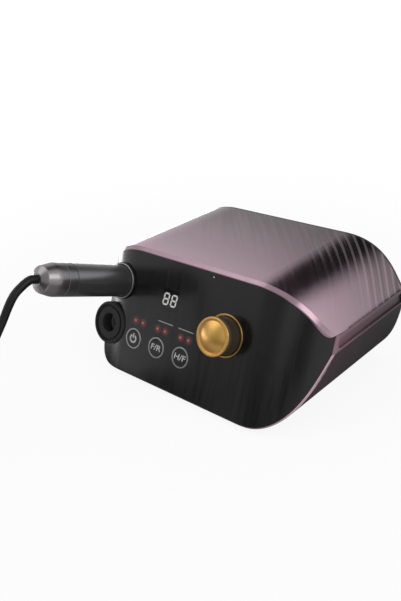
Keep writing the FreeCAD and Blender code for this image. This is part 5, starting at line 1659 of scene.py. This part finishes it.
@dataclass
class Handpiece(Part):
    """Handpiece in its holder: grip, tail, nose, lock ring, collet and the drive inside."""

    dressing: ClassVar[dict[str, str]] = {
        "grip_body": "grip", "trim_ring": "tail", "nose_cone": "steel", "lock_ring": "skin",
        "collet": "steel", "spindle": "steel", "rotor": "copper", "motor_case": "zinc",
        "front_bearing": "steel", "rear_bearing": "steel", "cord_relief": "jacket", "holder_sleeve": "black",
    }
    stored: float = 69.0
    grip_radius: float = 11.75
    tail_start: float = 121.8
    tail_bore: float = 8.45
    tail_wall: float = 1.8
    seam: float = 128.6
    seam_half: float = 0.2
    seam_deep: float = 0.15
    seam_round: float = 0.1
    tail_bend: float = 136.0
    tail_shoulder: tuple[float, float] = (9.4, 144.6)
    tail_rim: float = 145.2
    tail_end: float = 147.2
    tail_rounds: tuple[float, float, float] = (16.0, 1.6, 0.5)
    mouth: float = 4.3
    cord_radius: float = 2.5
    ring_size: tuple[float, float, float] = (12.1, 13.3, 1.2)
    ring_rounds: tuple[float, float] = (0.55, 0.55)
    lock_start: float = 25.3
    lock_length: float = 12.0
    lock_radius: float = 10.2
    ridges: int = 30
    ridge_sink: float = 0.15
    ridge_size: tuple[float, float, float] = (0.9, 1.1, 9.5)

    def draw(self) -> None:
        """Redraw the tail and the rolled ring at the holder's mouth, and add the lock ring's long ridges."""
        base = FRONT.place(*HAND_AXIS, -self.stored)
        self.fit(finish_mesh(self.tail(), "tail_cap_turned", base, 40), "tail", Body.HANDPIECE, "tail_cap")
        ring = flat_ring(self.ring_size, self.ring_rounds, 6)
        ring_piece = finish_mesh(ring, "holder_ring_turned", FRONT.place(*HAND_AXIS, self.ring_size[-1]))
        self.fit(ring_piece, "dull_ring", Body.HOUSING, "holder_ring")
        place = base @ Matrix.Translation((0, 0, self.lock_start + self.lock_length / 2))
        ridge = bead(Matrix.Diagonal((*self.ridge_size, 1)))
        self.knurl("lock_ring_knurl", ridge, place, "skin", self.ridges, self.lock_radius - self.ridge_sink,
                   Body.LOCK_RING)

    def tail(self) -> BMesh:
        """Tail shell: straight with a fine seam, then rolled in to a cone that holds the cord.

        Returns:
            The shell about the handpiece's axis, from the nose's end.
        """
        outer = self.grip_radius
        bend, shoulder, lip = self.tail_rounds
        return turned(rounded([
            (self.tail_bore, self.tail_start), (outer, self.tail_start),
            (outer, self.seam - self.seam_half, self.seam_round), (outer - self.seam_deep, self.seam),
            (outer, self.seam + self.seam_half, self.seam_round), (outer, self.tail_bend, bend),
            (*self.tail_shoulder, shoulder), (self.mouth, self.tail_end, lip),
            (self.cord_radius, self.tail_end), (self.cord_radius, self.tail_rim - self.tail_wall),
            (self.tail_bore, self.tail_bend - self.tail_wall),
        ], 10), 128)


@dataclass
class CordPlug(Part):
    """The cord's own round plug: ribbed grip and bright barrel."""

    dressing: ClassVar[dict[str, str]] = {"plug_grip": "satin_black", "plug_barrel": "chrome"}
    start: tuple[float, float, float] = (-129.0, -241.0, 8.05)
    grip_radius: float = 7.6
    rib_size: tuple[float, float] = (0.35, 1.2)
    rib_sink: float = 0.3
    rib_round: float = 0.3
    ribs: int = 7
    rib_step: float = 2.4
    rib_start: float = 9.0

    def draw(self) -> None:
        """Add the finger ribs."""
        high, wide = self.rib_size
        inner, outer, half = self.grip_radius - self.rib_sink, self.grip_radius + high, wide / 2
        edges = ((outer, -half, self.rib_round), (outer, half, self.rib_round))
        rib = turned(rounded([(inner, -half), *edges, (inner, half)], 3), 48)
        bmesh.ops.translate(rib, verts=rib.verts, vec=(0, 0, self.rib_start))
        place = stand(self.start, Matrix.Rotation(-QUARTER, 4, "Y"))
        self.row("plug_ribs", rib, place, "satin_black", self.ribs, (0, 0, self.rib_step))


@dataclass
class RearFittings(Part):
    """Power rocker with its marks, mains inlet and pedal jack."""

    dressing: ClassVar[dict[str, str]] = {
        "switch_frame": "black", "switch_rocker": "cap_black", "mains_inlet": "black", "inlet_pins": "brass",
        "pedal_jack": "black", "jack_nut": "chrome",
    }
    rocker: tuple[float, float, float] = (58.0, 71.5, 46.0)
    tilt: float = math.radians(9)
    lobe_length: float = 8.45
    lobe_drop: float = 1.6
    mark_out: float = 2.24
    bar_size: tuple[float, float] = (0.35, 1.9)
    ring_size: tuple[float, float] = (1.35, 1.95)

    def draw(self) -> None:
        """Mark the rocker: an upright bar that means on, and a ring that means off."""
        wide, high = self.bar_size
        stroke = plate([(-wide, -high), (wide, -high), (wide, high), (-wide, high)], PRINT_THICK)
        inner, outer = self.ring_size
        ring = turned([(inner, 0), (outer, 0), (outer, PRINT_THICK), (inner, PRINT_THICK)], 32)
        marks = joined([(stroke, self.on_rocker(1)), (ring, self.on_rocker(-1))])
        self.fit(finish_mesh(marks, "rocker_marks", Matrix()), "print", Body.ROCKER)

    def on_rocker(self, side: int) -> Matrix:
        """Matrix of one half of the rocker's face.

        Args:
            side: 1 for the upper half and -1 for the lower.

        Returns:
            Matrix from a drawing in millimetres to the frame.
        """
        slope = math.atan2(self.lobe_drop, self.lobe_length) * side
        face = Matrix.Translation((0, self.mark_out, side * self.lobe_length / 2))
        outwards = Matrix.Rotation(-QUARTER, 4, "X") @ Matrix.Rotation(math.pi, 4, "Z")
        whole = stand(self.rocker, Matrix.Rotation(self.tilt, 4, "X"))
        return whole @ face @ Matrix.Rotation(-slope, 4, "X") @ outwards


@dataclass
class Inside(Part):
    """Power board, transformer and heat sink behind the rear cover's air slots."""

    dressing: ClassVar[dict[str, str]] = {
        "main_board": "board", "board_standoffs": "brass", "transformer_core": "iron",
        "transformer_winding": "copper", "board_capacitors": "black", "heat_sink": "grip",
    }


def main() -> None:
    """Load the frame, make the camera, build every part in order, and set up the studio."""
    logging.basicConfig(level=logging.INFO, format="%(name)s: %(message)s")
    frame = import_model()
    nodes = frame["nodes"]
    StudioCamera().make()
    supplies = (nodes, make_finishes(), Repeater(Layout.RING), Repeater(Layout.ROW))
    for part in (HandpieceCord, Housing, FrontFace, Display, SpeedKnob, HandpieceSocket, Handpiece, CordPlug,
                 RearFittings, Inside):
        part(*supplies).make()
    Studio().make()


if __name__ == "__main__":
    main()
